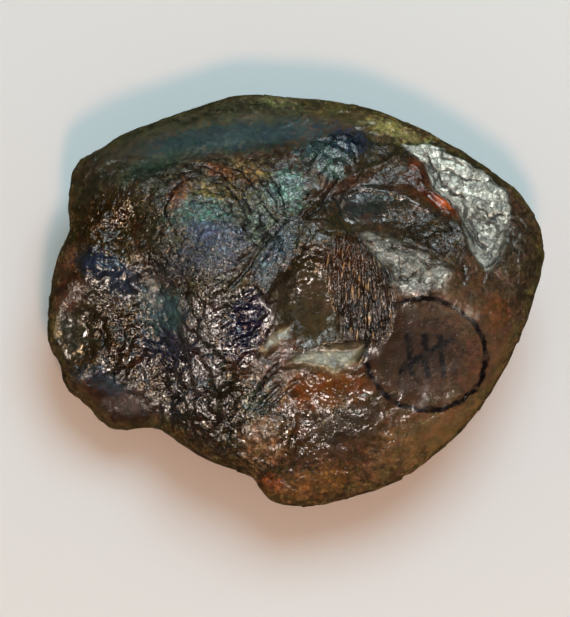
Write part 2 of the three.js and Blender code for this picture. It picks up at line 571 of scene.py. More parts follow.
@dataclass(frozen=True)
class Facets:
    """Flat chips of one length that rise much the same way, with steps between them.

    Each chip's rise along X and Y differs from the slope by up to the spread.
    """

    place: Place
    length: float
    slope: Spot2
    spread: float
    strength: float

    def lift(self, sheet: Sheet, height: np.ndarray) -> None:
        """Blend into the heights how far each point moves up into its chip's plane.

        Args:
            sheet: The points.
            height: The lifts by now, which are changed.
        """
        share = sheet.share(self.place)
        inside = share > 0
        points = sheet.points[inside]
        _, _, own = CHIPS.cells((sheet.points + CHIP_BEND * sheet.bend)[inside], self.length)
        slope = np.array(self.slope) + (own[:, :2] - 0.5) * 2 * self.spread
        _, chip, count = np.unique(own[:, 0], return_inverse=True, return_counts=True)
        total = np.stack([np.bincount(chip, part) for part in points.T], axis=1)
        away = points - (total / count[:, None])[chip]
        lift = (slope * away[:, :2]).sum(axis=1) - away[:, 2] + CHIP_STEP * (own[:, 2] - 0.5)
        height[inside] *= 1 - share[inside]
        height[inside] += self.strength * share[inside] * lift


@dataclass(frozen=True)
class Wear:
    """How the skin of one place is worn: wrinkles and chips in millimetres, beads and roughness."""

    place: Place
    wrinkle: float
    chip: float = 0.0
    beads: float = 0.3
    rough: float = 0.3


@dataclass(frozen=True)
class Wrinkles:
    """One size of the fine wrinkles in the skin."""

    seed: int
    length: float
    wander: float
    height: float

    def rise(self, sheet: Sheet) -> np.ndarray:
        """Return the wrinkles' height at each point, as a share of the place's own."""
        worms = Grain(self.seed).worms(sheet.points, self.length, self.wander)
        return self.height * (worms - 0.5)


@dataclass(frozen=True)
class Striations:
    """The close ridges that fan out down the cliff, and the beads on them."""

    width: float = 0.27
    length: float = 2.4
    height: float = 0.12
    bead: float = 0.32
    bead_height: float = 0.05
    bend: float = 0.25

    def rise(self, sheet: Sheet) -> np.ndarray:
        """Return the ridges' height at each point.

        Args:
            sheet: The points.

        Returns:
            Heights in millimetres, 0 off the cliff.
        """
        points = sheet.points + self.bend * sheet.bend
        fan = (points[:, 0] - FAN_MIDDLE) / (1 + FAN_SPREAD * (FAN_TOP - points[:, 1]))
        stretched = np.stack([fan / self.width, points[:, 1] / self.length, 0 * fan], axis=1)
        ridges = 1 - np.abs(RIDGES.lumps(stretched, 1.0)) * 2
        beads = RIDGE_BEADS.lumps(points, self.bead)
        return sheet.share(Place.CLIFF) * (self.height * ridges + self.bead_height * beads)


@dataclass
class StoneRelief:
    """The crown's relief over the stone's plain body, in millimetres."""

    dents: tuple[Dent, ...] = (
        Dent(Spot((-10.6, 3.0), (1.2, 1.6), 0, 0.6), 0.35),
        Dent(Spot((-9.4, 0.6), (1.0, 1.2), 0, 0.6), 0.35),
        Dent(Spot((-9.0, -3.6), (1.2, 1.6), 30, 0.6), 0.4),
        Dent(Spot((-3.9, -7.6), (0.8, 1.8), -20, 0.6), 0.35),
        Dent(Spot((5.6, -8.2), (1.6, 1.0), 20, 0.6), 0.06),
        Dent(Spot((2.3, 6.9), (0.9, 0.8), 0, 0.6), -0.35),
        Dent(Spot((3.3, 9.3), (1.1, 0.8), 0, 0.6), -0.35),
        Dent(Spot((1.5, 8.8), (0.9, 0.7), 0, 0.6), -0.25),
    )
    faces: tuple[Face, ...] = (
        Face(Place.BASIN, 0.16, 0.18, 0.1, 0.88),
        Face(Place.HOLLOW, 0.16, 0.18, 0.15, 0.85),
        Face(Place.POOL, 0.05, 0.2, 0.0, 0.8),
        Face(Place.INK, -0.26, 0.68, 0.0, 0.7),
        Face(Place.SILVER, -0.09, -0.135, 0.15, 1.0),
        Face(Place.CRESCENT, -0.1, -0.2, 0.1, 0.85),
        Face(Place.WALL, -0.02, -0.16, 0.0, 0.9),
        Face(Place.SLIVER, -0.06, -0.16, 0.0, 0.9),
        Face(Place.MINT, -0.08, -0.18, 0.05, 0.85),
        Face(Place.STRIP, -0.04, -0.1, 0.1, 0.8),
        Face(Place.BAND, 0.05, -0.3, 0.0, 0.6),
    )
    lines: tuple[Line, ...] = (
        Line(
            ((-0.7, 3.6), (-1.5, 2.6), (-2.2, 1.8), (-2.8, 0.8), (-3.6, -0.1), (-4.4, -0.8)),
            -0.4, 0.16, 0.05, 1.0,
        ),
        Line(
            ((-1.0, 3.6), (-1.9, 2.6), (-2.5, 1.8), (-3.2, 1.1), (-3.9, 0.5)),
            -0.2, 0.1, 0.1, 0.9,
        ),
        Line(
            ((-2.1, 7.6), (-1.6, 6.8), (-0.9, 5.8), (-0.6, 4.8), (-0.6, 4.2), (-1.0, 3.4)),
            -0.15, 0.1, 0.2, 1.0, -0.1,
        ),
        Line(
            ((-3.3, 7.8), (-2.5, 7.0), (-1.8, 6.0), (-1.2, 4.9), (-1.0, 4.1)),
            -0.1, 0.1, 0.2, 0.8, -0.08,
        ),
        Line(
            (
                (-4.5, 7.8), (-3.5, 7.1), (-2.6, 6.1), (-2.0, 5.0),
                (-1.5, 4.1), (-1.3, 3.7), (-2.0, 2.8), (-2.5, 2.1),
            ),
            -0.16, 0.1, 0.2, 1.0, -0.1,
        ),
        Line(
            (
                (-5.3, 7.5), (-4.3, 6.7), (-3.6, 5.9), (-3.2, 5.0),
                (-2.5, 4.2), (-1.9, 3.6), (-2.5, 2.8), (-2.8, 2.3),
            ),
            -0.14, 0.1, 0.2, 0.9, -0.1,
        ),
        Line(
            (
                (-5.7, 6.7), (-4.6, 6.2), (-3.7, 5.4), (-3.3, 4.5),
                (-3.1, 3.5), (-3.3, 2.6), (-3.7, 1.9),
            ),
            -0.16, 0.11, 0.2, 1.0, -0.1,
        ),
        Line(
            ((-6.4, 6.0), (-5.2, 5.8), (-4.3, 5.2), (-3.8, 4.3), (-3.7, 3.4)),
            -0.1, 0.1, 0.25, 0.7, -0.06,
        ),
        Line(
            ((-6.0, 6.8), (-7.0, 6.5), (-7.8, 6.0), (-8.2, 5.2), (-8.3, 4.4), (-8.0, 3.8)),
            -0.15, 0.12, 0.2, 0.9, 0.1,
        ),
        Line(((-7.4, 7.0), (-6.2, 7.5), (-4.8, 7.6)), -0.1, 0.1, 0.2, 0.7, -0.06),
        Line(
            ((-7.2, 4.9), (-6.6, 5.1), (-5.7, 5.0), (-4.9, 4.7), (-4.4, 4.1), (-4.2, 3.3)),
            -0.1, 0.1, 0.25, 0.6, -0.06,
        ),
        Line(
            ((8.3, 9.3), (8.5, 8.1), (9.1, 7.4), (9.7, 6.4), (10.4, 5.9), (11.3, 5.4)),
            -0.15, 0.1, 0.25, 1.0, 0.04,
        ),
        Line(((9.1, 9.2), (9.7, 8.5), (10.8, 8.0)), -0.1, 0.09, 0.25, 0.9, 0.03),
        Line(((9.0, 7.4), (9.9, 7.5), (11.0, 6.9), (12.1, 7.0)), -0.1, 0.09, 0.25, 0.9, -0.03),
        Line(((10.4, 5.8), (11.0, 4.6), (11.4, 3.4), (12.1, 1.9)), -0.12, 0.09, 0.25, 0.9, 0.03),
        Line(((11.3, 5.4), (12.2, 4.6), (13.4, 4.8)), -0.12, 0.09, 0.25, 0.9, 0.03),
        Line(((12.2, 4.6), (12.8, 3.4), (13.7, 3.7)), -0.1, 0.09, 0.25, 0.8, 0.03),
        Line(((7.0, 9.0), (6.1, 8.1), (4.9, 7.5), (3.5, 6.7), (2.7, 6.4), (1.9, 5.7)), 0.28, 0.25),
        Line(((2.7, 7.3), (2.2, 6.3), (1.7, 5.6), (0.9, 4.6), (0.1, 3.8)), 0.25, 0.13),
        Line(((3.0, 7.1), (2.5, 6.1), (2.0, 5.4), (1.2, 4.4), (0.4, 3.6)), -0.15, 0.1, 0.1, 0.9),
        Line(((1.7, 5.4), (3.2, 6.0), (4.4, 6.2), (5.7, 6.0), (7.0, 5.6), (7.8, 5.1)), 0.2, 0.16),
        Line(
            ((7.0, 9.0), (7.9, 7.6), (8.3, 6.3), (9.5, 5.4), (10.2, 4.2), (11.4, 1.8)),
            0.25, 0.28,
        ),
        Line(
            ((8.0, 8.6), (8.8, 7.3), (8.9, 6.3), (9.8, 5.6), (10.7, 4.2), (11.8, 1.8)),
            -0.12, 0.1, 0.2, 0.9,
        ),
        Line(
            ((-15.2, 2.0), (-12.9, 3.8), (-10.8, 5.6), (-8.6, 7.4), (-4.0, 8.6), (1.0, 9.2)),
            0.15, 0.4,
        ),
        Line(
            ((3.2, 3.2), (4.2, 2.2), (5.4, 0.5), (6.3, -1.4), (6.2, -3.4), (5.2, -5.2)),
            0.3, 0.35,
        ),
        Line(((5.4, -4.6), (4.4, -5.3), (3.0, -6.0), (1.2, -6.2), (-0.6, -5.9)), 0.25, 0.5),
        Line(((-0.3, -4.5), (-1.6, -5.6), (-3.4, -7.4), (-4.4, -9.0)), 0.2, 0.35),
        Line(((-13.9, 2.2), (-12.0, 1.4), (-10.4, 0.5), (-8.8, -1.0)), 0.3, 0.5),
        Line(
            ((-13.5, 2.3), (-12.5, 2.3), (-11.4, 1.8), (-10.2, 0.9), (-9.2, -0.4)),
            -0.2, 0.2, 0.2, 0.6,
        ),
        Line(((-13.4, -5.0), (-11.2, -5.4), (-9.0, -6.4), (-7.8, -8.0)), 0.25, 0.4),
        Line(((-12.8, -2.0), (-12.0, -3.4), (-12.2, -4.6)), -0.3, 0.25, 0.2, 0.7),
        Line(((-2.7, -8.1), (-2.1, -7.5), (-1.5, -6.9), (-0.8, -6.3)), -0.2, 0.1, 0.1, 1.0, 0.05),
        Line(((-2.4, -8.5), (-1.8, -7.8), (-1.1, -7.2), (-0.4, -6.6)), -0.2, 0.1, 0.1, 1.0, 0.05),
        Line(((-3.0, -7.5), (-2.3, -6.8), (-1.8, -6.2), (-1.1, -5.5)), -0.2, 0.1, 0.1, 1.0, 0.05),
        Line(((-2.1, -6.2), (-1.6, -5.6), (-1.0, -5.0)), -0.15, 0.1, 0.1, 0.9, 0.05),
        Line(((-4.2, -5.9), (-4.1, -7.2), (-4.3, -8.4), (-4.0, -9.6)), -0.35, 0.3, 0.2, 0.8),
        Line(((-4.7, -3.4), (-3.9, -3.9), (-3.0, -3.6), (-2.2, -2.8)), -0.2, 0.15, 0.2, 0.7),
        Line(((-7.6, -0.6), (-6.4, -0.8), (-5.0, -0.4), (-3.6, -0.6)), -0.15, 0.12, 0.3, 0.7),
        Line(((6.8, 2.9), (7.6, 2.3), (8.5, 1.9)), 0.14, 0.12, 0.1, 0.0, 0.08),
        Line(
            ((5.8, 2.0), (7.1, 1.8), (8.0, 1.1), (8.8, 0.8), (9.7, 0.9)),
            -0.1, 0.1, 0.15, 0.7, 0.12,
        ),
        Line(((4.5, 1.7), (5.4, 0.8), (5.9, -0.3), (5.8, -0.9)), -0.1, 0.1, 0.15, 0.6, 0.1),
        Line(((6.1, -0.3), (7.1, -0.1), (8.0, 0.4), (7.8, -0.5)), -0.1, 0.1, 0.15, 0.6, 0.08),
        Line(
            ((4.9, 2.5), (5.8, 1.5), (6.9, 1.0), (7.8, 0.2), (9.0, 0.2)),
            0.1, 0.12, 0.15, 0.0, 0.08,
        ),
    )
    facets: tuple[Facets, ...] = (
        Facets(Place.LEFT, 0.9, (0.42, 0.2), 0.22, 0.6),
        Facets(Place.LEFT_MIDDLE, 0.8, (0.34, 0.14), 0.28, 0.7),
        Facets(Place.LOW_FLANK, 1.0, (0.45, 0.55), 0.25, 0.7),
        Facets(Place.AMBER, 1.4, (0.3, 0.85), 0.12, 0.6),
        Facets(Place.FRONT, 1.2, (0.1, 0.8), 0.2, 0.3),
        Facets(Place.FLANK, 1.1, (-0.08, 0.35), 0.14, 0.95),
        Facets(Place.FRONT_GLINTS, 0.9, (0.38, 0.5), 0.12, 0.9),
        Facets(Place.NAVY, 1.0, (0.14, 0.14), 0.12, 1.0),
        Facets(Place.SWIRL, 0.8, (0.27, -0.1), 0.14, 0.5),
        Facets(Place.KNOB, 1.1, (-0.08, -0.16), 0.2, 0.9),
        Facets(Place.BROW, 0.6, (0.22, 0.06), 0.12, 1.0),
        Facets(Place.ROUGH_HOLLOW, 0.7, (0.0, -0.2), 0.4, 0.5),
    )
    wear: tuple[Wear, ...] = (
        Wear(Place.BAND, 0.004, 0.01, 0.02, 0.34),
        Wear(Place.SWIRL, 0.045, 0.012, 0.15, 0.17),
        Wear(Place.LOW_FLANK, 0.026, 0.01, 0.5, 0.13),
        Wear(Place.FLANK, 0.024, 0.01, 0.4, 0.12),
        Wear(Place.NAVY, 0.02, 0.01, 0.3, 0.14),
        Wear(Place.AMBER, 0.012, 0.02, 0.6, 0.15),
        Wear(Place.FRONT, 0.012, 0.02, 0.7, 0.24),
        Wear(Place.FRONT_GLINTS, 0.024, 0.01, 0.4, 0.13),
        Wear(Place.LEFT, 0.02, 0.03, 0.9, 0.12),
        Wear(Place.LEFT_MIDDLE, 0.026, 0.03, 0.8, 0.13),
        Wear(Place.BLUE_RIDGE, 0.014, 0.0, 0.1, 0.17),
        Wear(Place.LOBE, 0.008, 0.02, 0.15, 0.28),
        Wear(Place.POOL, 0.003, 0.0, 0.0, 0.16),
        Wear(Place.SHOULDER, 0.005, 0.006, 0.7, 0.17),
        Wear(Place.INK, 0.004, 0.0, 0.2, 0.3),
        Wear(Place.BROW, 0.035, 0.02, 0.4, 0.22),
        Wear(Place.BASIN, 0.006, 0.0, 0.1, 0.18),
        Wear(Place.CLIFF, 0.015, 0.0, 1.0, 0.24),
        Wear(Place.HOLLOW, 0.008, 0.01, 0.05, 0.18),
        Wear(Place.RUST, 0.012, 0.02, 0.5, 0.22),
        Wear(Place.ROUGH_HOLLOW, 0.03, 0.03, 0.4, 0.26),
        Wear(Place.KNOB, 0.03, 0.02, 0.2, 0.22),
        Wear(Place.CRESCENT, 0.035, 0.0, 0.05, 0.28),
        Wear(Place.SILVER, 0.045, 0.0, 0.0, 0.3),
        Wear(Place.WALL, 0.015, 0.0, 0.0, 0.36),
        Wear(Place.SLIVER, 0.015, 0.0, 0.0, 0.3),
        Wear(Place.MINT, 0.04, 0.0, 0.0, 0.26),
        Wear(Place.STRIP, 0.04, 0.0, 0.1, 0.24),
    )

    # The wrinkles, chips, beads and roughness off the named places.
    body: tuple[float, float, float, float] = (0.02, 0.04, 0.4, 0.29)

    wrinkles: tuple[Wrinkles, ...] = (Wrinkles(41, 0.5, 0.25, 0.8), Wrinkles(47, 0.3, 0.12, 0.3))
    striations: Striations = Striations()
    flake: float = 1.05
    flake_bend: float = 0.25
    flake_gain: float = 4.0

    def large(self, sheet: Sheet) -> np.ndarray:
        """Return how far the faces, hollows, ridges and creases lift each point along Z.

        Args:
            sheet: The points.

        Returns:
            Lifts in millimetres.
        """
        start = sheet.points[:, 2]
        height = start + sum(dent.rise(sheet) for dent in self.dents)
        for face in self.faces:
            height = height + face.rise(sheet, height)
        for line in self.lines:
            line.lift(sheet, height)
        return height - start

    def skin(self, sheet: Sheet) -> np.ndarray:
        """Return the wrinkles, chips, beads and roughness at each point.

        Args:
            sheet: The points.

        Returns:
            A row for each point.
        """
        values = np.tile(np.array(self.body), (len(sheet.points), 1))
        for wear in self.wear:
            share = sheet.share(wear.place)[:, None]
            values += share * (np.array([wear.wrinkle, wear.chip, wear.beads, wear.rough]) - values)
        return values

    def stepped(self, sheet: Sheet) -> np.ndarray:
        """Return how far the flat chips lift each point along Z.

        Args:
            sheet: The points.

        Returns:
            Lifts in millimetres.
        """
        height = np.zeros(len(sheet.points))
        for facets in self.facets:
            facets.lift(sheet, height)
        return height

    def fine(self, sheet: Sheet) -> np.ndarray:
        """Return how far the fine relief lifts each point out of the surface.

        Args:
            sheet: The points.

        Returns:
            Heights in millimetres.
        """
        wrinkle, chip, _, _ = self.skin(sheet).T
        bent = sheet.points + self.flake_bend * sheet.bend
        _, offset, own = FLAKES.cells(bent, self.flake)
        flakes = (offset * (own - 0.5)).sum(axis=1) * self.flake_gain
        wrinkles = sum(kind.rise(sheet) for kind in self.wrinkles)
        return wrinkle * wrinkles + chip * flakes + self.striations.rise(sheet)

    def cracks(self, sheet: Sheet) -> tuple[np.ndarray, np.ndarray]:
        """Find the crack with painted shade nearest to each point.

        Args:
            sheet: The points.

        Returns:
            How far each point is to the crack's left, and how much shade is painted into the crack
            there.
        """
        gap = np.full(len(sheet.points), FAR)
        dark = np.zeros(len(sheet.points))
        for line in self.lines:
            if line.dark:
                close, away, taper = line.track(sheet)
                closer = np.abs(away) < np.abs(gap[close])
                chosen = close[closer]
                gap[chosen] = away[closer]
                dark[chosen] = (line.dark * taper)[closer]
        return gap, dark * sheet.crown * (1 - ease(CRACK_SHOWS, CRACK_ENDS, np.abs(gap)))


# ---------- The stone's mesh ----------

# The places whose share the finish reads.
FINISHED_APART = (Place.SILVER, Place.CRESCENT, Place.WALL, Place.SLIVER, Place.MINT, Place.CLIFF)


@dataclass
class Stone:
    """The stone: its body from the frame, with the relief on it."""

    relief: StoneRelief = field(default_factory=StoneRelief)
    voxel: float = 0.095
    first_smoothing: int = 16
    second_smoothing: int = 3
    triangles: int = 196000
    crown_thinning: float = 0.9
    base_grip: float = 0.35
    weld: float = 0.001
    outline_slices: int = 720

    def shell(self, mesh: bpy.types.Mesh, smoothing: int) -> bpy.types.Mesh:
        """Return an even copy of a closed mesh.

        Args:
            mesh: The mesh, in millimetres. It is used up.
            smoothing: How many times the copy is smoothed.

        Returns:
            A closed mesh of small quads.
        """
        work = self._working_copy(mesh)
        remesh = work.modifiers.new("even", "REMESH")
        remesh.mode = "VOXEL"
        remesh.voxel_size = self.voxel
        soften = work.modifiers.new("soften", "SMOOTH")
        soften.factor = 0.5
        soften.iterations = smoothing
        return self._applied(work)

    def body(self, node: bpy.types.Object) -> bpy.types.Mesh:
        """Return the node's mesh in millimetres, with its corners joined.

        Args:
            node: The frame's object.

        Returns:
            A new mesh.
        """
        mesh = node.data.copy()
        mesh.transform(Matrix.Scale(1 / MM, 4))
        cleaner = bmesh.new()
        cleaner.from_mesh(mesh)
        bmesh.ops.remove_doubles(cleaner, verts=cleaner.verts, dist=self.weld)
        cleaner.to_mesh(mesh)
        cleaner.free()
        return mesh

    @staticmethod
    def _working_copy(mesh: bpy.types.Mesh) -> bpy.types.Object:
        """Return an object that shows the mesh, to put modifiers on.

        Args:
            mesh: The mesh, which the object uses as it is.

        Returns:
            The object, in the scene.
        """
        work = bpy.data.objects.new("work", mesh)
        bpy.context.scene.collection.objects.link(work)
        return work

    @staticmethod
    def _applied(work: bpy.types.Object) -> bpy.types.Mesh:
        """Return the object's mesh with its modifiers applied, and remove the object.

        Args:
            work: The object.

        Returns:
            A new mesh.
        """
        depsgraph = bpy.context.evaluated_depsgraph_get()
        mesh = bpy.data.meshes.new_from_object(work.evaluated_get(depsgraph))
        bpy.data.objects.remove(work)
        return mesh

    @staticmethod
    def _read(mesh: bpy.types.Mesh) -> tuple[np.ndarray, np.ndarray]:
        """Return the mesh's points and normals as arrays.

        Args:
            mesh: The mesh.

        Returns:
            The points and the normals, one row each.
        """
        points = np.zeros(len(mesh.vertices) * 3, np.float32)
        normals = np.zeros(len(mesh.vertices) * 3, np.float32)
        mesh.vertices.foreach_get("co", points)
        mesh.vertices.foreach_get("normal", normals)
        return points.reshape(-1, 3).astype(float), normals.reshape(-1, 3).astype(float)

    @staticmethod
    def _write(mesh: bpy.types.Mesh, points: np.ndarray) -> None:
        """Move the mesh's points."""
        mesh.vertices.foreach_set("co", points.astype(np.float32).ravel())
        mesh.update()

    def shape(self, mesh: bpy.types.Mesh) -> None:
        """Give the shell its large faces, hollows, ridges and steps.

        Args:
            mesh: The shell, in millimetres, which is changed.
        """
        for lift in (self.relief.large, self.relief.stepped):
            points, normals = self._read(mesh)
            points[:, 2] += lift(Sheet(points, normals))
            self._write(mesh, points)

    def engrave(self, mesh: bpy.types.Mesh, low: np.ndarray, high: np.ndarray) -> None:
        """Give the shell its fine relief, and fit it to a box.

        Args:
            mesh: The shell, in millimetres.
            low: Lowest corner of the box.
            high: Highest corner of the box.
        """
        points, normals = self._read(mesh)
        free = ease(0.0, self.base_grip, points[:, 2])
        points += (free * self.relief.fine(Sheet(points, normals)))[:, None] * normals
        points[:, 2] = np.maximum(points[:, 2], 0)
        size = points.max(axis=0) - points.min(axis=0)
        self._write(mesh, low + (points - points.min(axis=0)) * (high - low) / size)

    def thin(self, mesh: bpy.types.Mesh) -> bpy.types.Mesh:
        """Return the mesh with fewer triangles, most of them taken from the underside.

        Args:
            mesh: The engraved shell.

        Returns:
            A mesh of triangles.
        """
        work = self._working_copy(mesh)
        _, normals = self._read(mesh)
        under = work.vertex_groups.new(name="under")
        facing_up = normals[:, 2] > 0
        under.add(np.nonzero(facing_up)[0].tolist(), self.crown_thinning, "REPLACE")
        under.add(np.nonzero(~facing_up)[0].tolist(), 1.0, "REPLACE")
        fewer = work.modifiers.new("fewer", "DECIMATE")
        fewer.ratio = min(1.0, self.triangles / (2 * len(mesh.polygons)))
        fewer.use_collapse_triangulate = True
        fewer.vertex_group = under.name
        fewer.vertex_group_factor = 1.0
        return self._applied(work)

    def marks(self, mesh: bpy.types.Mesh) -> None:
        """Store what the finish reads at each point: places, edge distance and relief.

        Args:
            mesh: The finished mesh, in millimetres.
        """
        points, normals = self._read(mesh)
        sheet = Sheet(points, normals)
        heading = np.arctan2(points[:, 1], points[:, 0])
        reach = np.hypot(points[:, 0], points[:, 1])
        turns = (heading + math.pi) / (2 * math.pi)
        piece = (turns * self.outline_slices).astype(int) % self.outline_slices
        outline = np.zeros(self.outline_slices)
        np.maximum.at(outline, piece, reach)
        wrinkle, _, beads, rough = self.relief.skin(sheet).T
        # The long cracks' painted shade, stored for the finish.
        gap, dark = self.relief.cracks(sheet)
        values = {
            "edge": outline[piece] - reach,
            "crown": sheet.crown,
            "skin": wrinkle,
            "beads": beads,
            "rough": rough,
            "relief": self.relief.fine(sheet),
            "gap": gap,
            "dark": dark,
        }
        for place in FINISHED_APART:
            values[place.name.lower()] = sheet.share(place)
        for name, value in values.items():
            layer = mesh.attributes.new(name, "FLOAT", "POINT")
            layer.data.foreach_set("value", value.astype(np.float32))

    def build(self, node: bpy.types.Object) -> bpy.types.Object:
        """Make the stone and place it in the frame.

        Args:
            node: The frame's object that the stone stands for.

        Returns:
            The stone's object.
        """
        low, high = (np.array(corner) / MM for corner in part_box(NODE))
        rough = self.shell(self.body(node), self.first_smoothing)
        self.shape(rough)
        shell = self.shell(rough, self.second_smoothing)
        self.engrave(shell, low, high)
        log.info("shell has %d points", len(shell.vertices))
        mesh = self.thin(shell)
        self.marks(mesh)
        mesh.transform(Matrix.Scale(MM, 4))
        mesh.name = "sapphire_stone"
        mesh.polygons.foreach_set("use_smooth", [True] * len(mesh.polygons))
        stone = bpy.data.objects.new("sapphire_stone", mesh)
        bpy.context.scene.collection.objects.link(stone)
        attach(stone, "root")
        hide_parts(NODE)
        log.info("%s: %d triangles", stone.name, len(mesh.polygons))
        return stone


# ---------- Shader building ----------


class Bench:
    """Adds nodes to one shader tree."""

    def __init__(self, tree: bpy.types.NodeTree) -> None:
        """Empty the tree and keep it."""
        tree.nodes.clear()
        self.tree = tree

    def add(self, kind: str, settings: dict, inputs: dict) -> bpy.types.Node:
        """Add one node.

        Args:
            kind: The node's type, such as ShaderNodeMath.
            settings: Its settings, such as a Math node's operation.
            inputs: Numbers, colours or Value objects for its input sockets, by name or number.

        Returns:
            The new node.
        """
        node = self.tree.nodes.new(kind)
        for name, value in settings.items():
            setattr(node, name, value)
        for key, value in inputs.items():
            self.feed(node.inputs[key], value)
        return node

    def feed(self, socket: bpy.types.NodeSocket, value: object) -> None:
        """Link or set one input socket.

        Args:
            socket: A node's input.
            value: A Value to link, or a number or numbers to set.
        """
        if isinstance(value, Value):
            self.tree.links.new(value.socket, socket)
            return
        size = len(socket.default_value) if hasattr(socket.default_value, "__len__") else 0
        if size and isinstance(value, (int, float)):
            value = (value,) * 3
        socket.default_value = (*value, 1) if size == 4 else value

    def result(self, kind: str, settings: dict, inputs: dict, output: str | int = 0) -> Value:
        """Add one node and return one of its outputs."""
        return Value(self, self.add(kind, settings, inputs).outputs[output])

    def mark(self, name: str) -> Value:
        """Return a number stored on the mesh."""
        return self.result("ShaderNodeAttribute", {"attribute_name": name}, {}, "Fac")

    def mix(self, share: object, under: object, over: object) -> Value:
        """Return one colour laid over another.

        Args:
            share: How much of the upper colour shows.
            under: The lower colour.
            over: The upper colour.

        Returns:
            The mixed colour.
        """
        settings = {"data_type": "RGBA", "blend_type": "MIX", "clamp_factor": True}
        return self.result("ShaderNodeMix", settings, {0: share, 6: under, 7: over}, 2)


@dataclass
class Value:
    """A number's, vector's or colour's socket, for writing shader maths as expressions."""

    bench: Bench
    socket: bpy.types.NodeSocket

    @property
    def wide(self) -> bool:
        """Return whether this is a vector or a colour."""
        return self.socket.type != "VALUE"

    def _math(self, operation: str, *others: object, swap: bool = False, output: int = 0) -> Value:
        """Return the result of one Math or Vector Math node.

        Args:
            operation: The node's operation.
            others: What follows this value in it.
            swap: Whether the terms go in the other way round.
            output: Number of the node's output.

        Returns:
            The result.
        """
        terms = [self, *others]
        if swap:
            terms.reverse()
        wide = any(getattr(term, "wide", isinstance(term, tuple)) for term in terms)
        kind = "ShaderNodeVectorMath" if wide else "ShaderNodeMath"
        return self.bench.result(kind, {"operation": operation}, dict(enumerate(terms)), output)

    def __add__(self, other: object) -> Value:
        """Return the sum."""
        return self._math("ADD", other)

    __radd__ = __add__

    def __sub__(self, other: object) -> Value:
        """Return the difference."""
        return self._math("SUBTRACT", other)

    def __rsub__(self, other: object) -> Value:
        """Return the difference, the other way round."""
        return self._math("SUBTRACT", other, swap=True)

    def __mul__(self, other: object) -> Value:
        """Return the product."""
        return self._math("MULTIPLY", other)

    __rmul__ = __mul__

    def __truediv__(self, other: object) -> Value:
        """Return the quotient."""
        return self._math("DIVIDE", other)

    def __rtruediv__(self, other: object) -> Value:
        """Return the quotient, the other way round."""
        return self._math("DIVIDE", other, swap=True)

    def __pow__(self, other: object) -> Value:
        """Return the power."""
        return self._math("POWER", other)

    def __abs__(self) -> Value:
        """Return the size without the sign."""
        return self._math("ABSOLUTE")

    def dot(self, other: object) -> Value:
        """Return the dot product."""
        return self._math("DOT_PRODUCT", other, output=1)

    def length(self) -> Value:
        """Return the vector's length."""
        return self._math("LENGTH", output=1)

    def parts(self) -> list[Value]:
        """Return the vector's X, Y and Z."""
        node = self.bench.add("ShaderNodeSeparateXYZ", {}, {0: self})
        return [Value(self.bench, socket) for socket in node.outputs]

    def least(self, other: object) -> Value:
        """Return the smaller of the two."""
        return self._math("MINIMUM", other)

    def most(self, other: object) -> Value:
        """Return the larger of the two."""
        return self._math("MAXIMUM", other)

    def ease(self, low: float, high: float) -> Value:
        """Return a smooth step from 0 at low to 1 at high.

        Args:
            low: Where the step starts.
            high: Where it ends.

        Returns:
            The step.
        """
        settings = {"interpolation_type": "SMOOTHSTEP"}
        inputs = {"Value": self, "From Min": low, "From Max": high}
        return self.bench.result("ShaderNodeMapRange", settings, inputs, "Result")


# ---------- The stone's finish ----------


@dataclass(frozen=True)
class Stain:
    """One coloured zone of the crystal, by the colour it has under the skin's sheen. A few carry
    painted glints, painted sheen or painted glow, as marked.
    """

    name: str
    at: Spot2
    radii: Spot2
    turn: float
    seen: Bytes
    strength: float = 0.9
    blur: float = 0.45


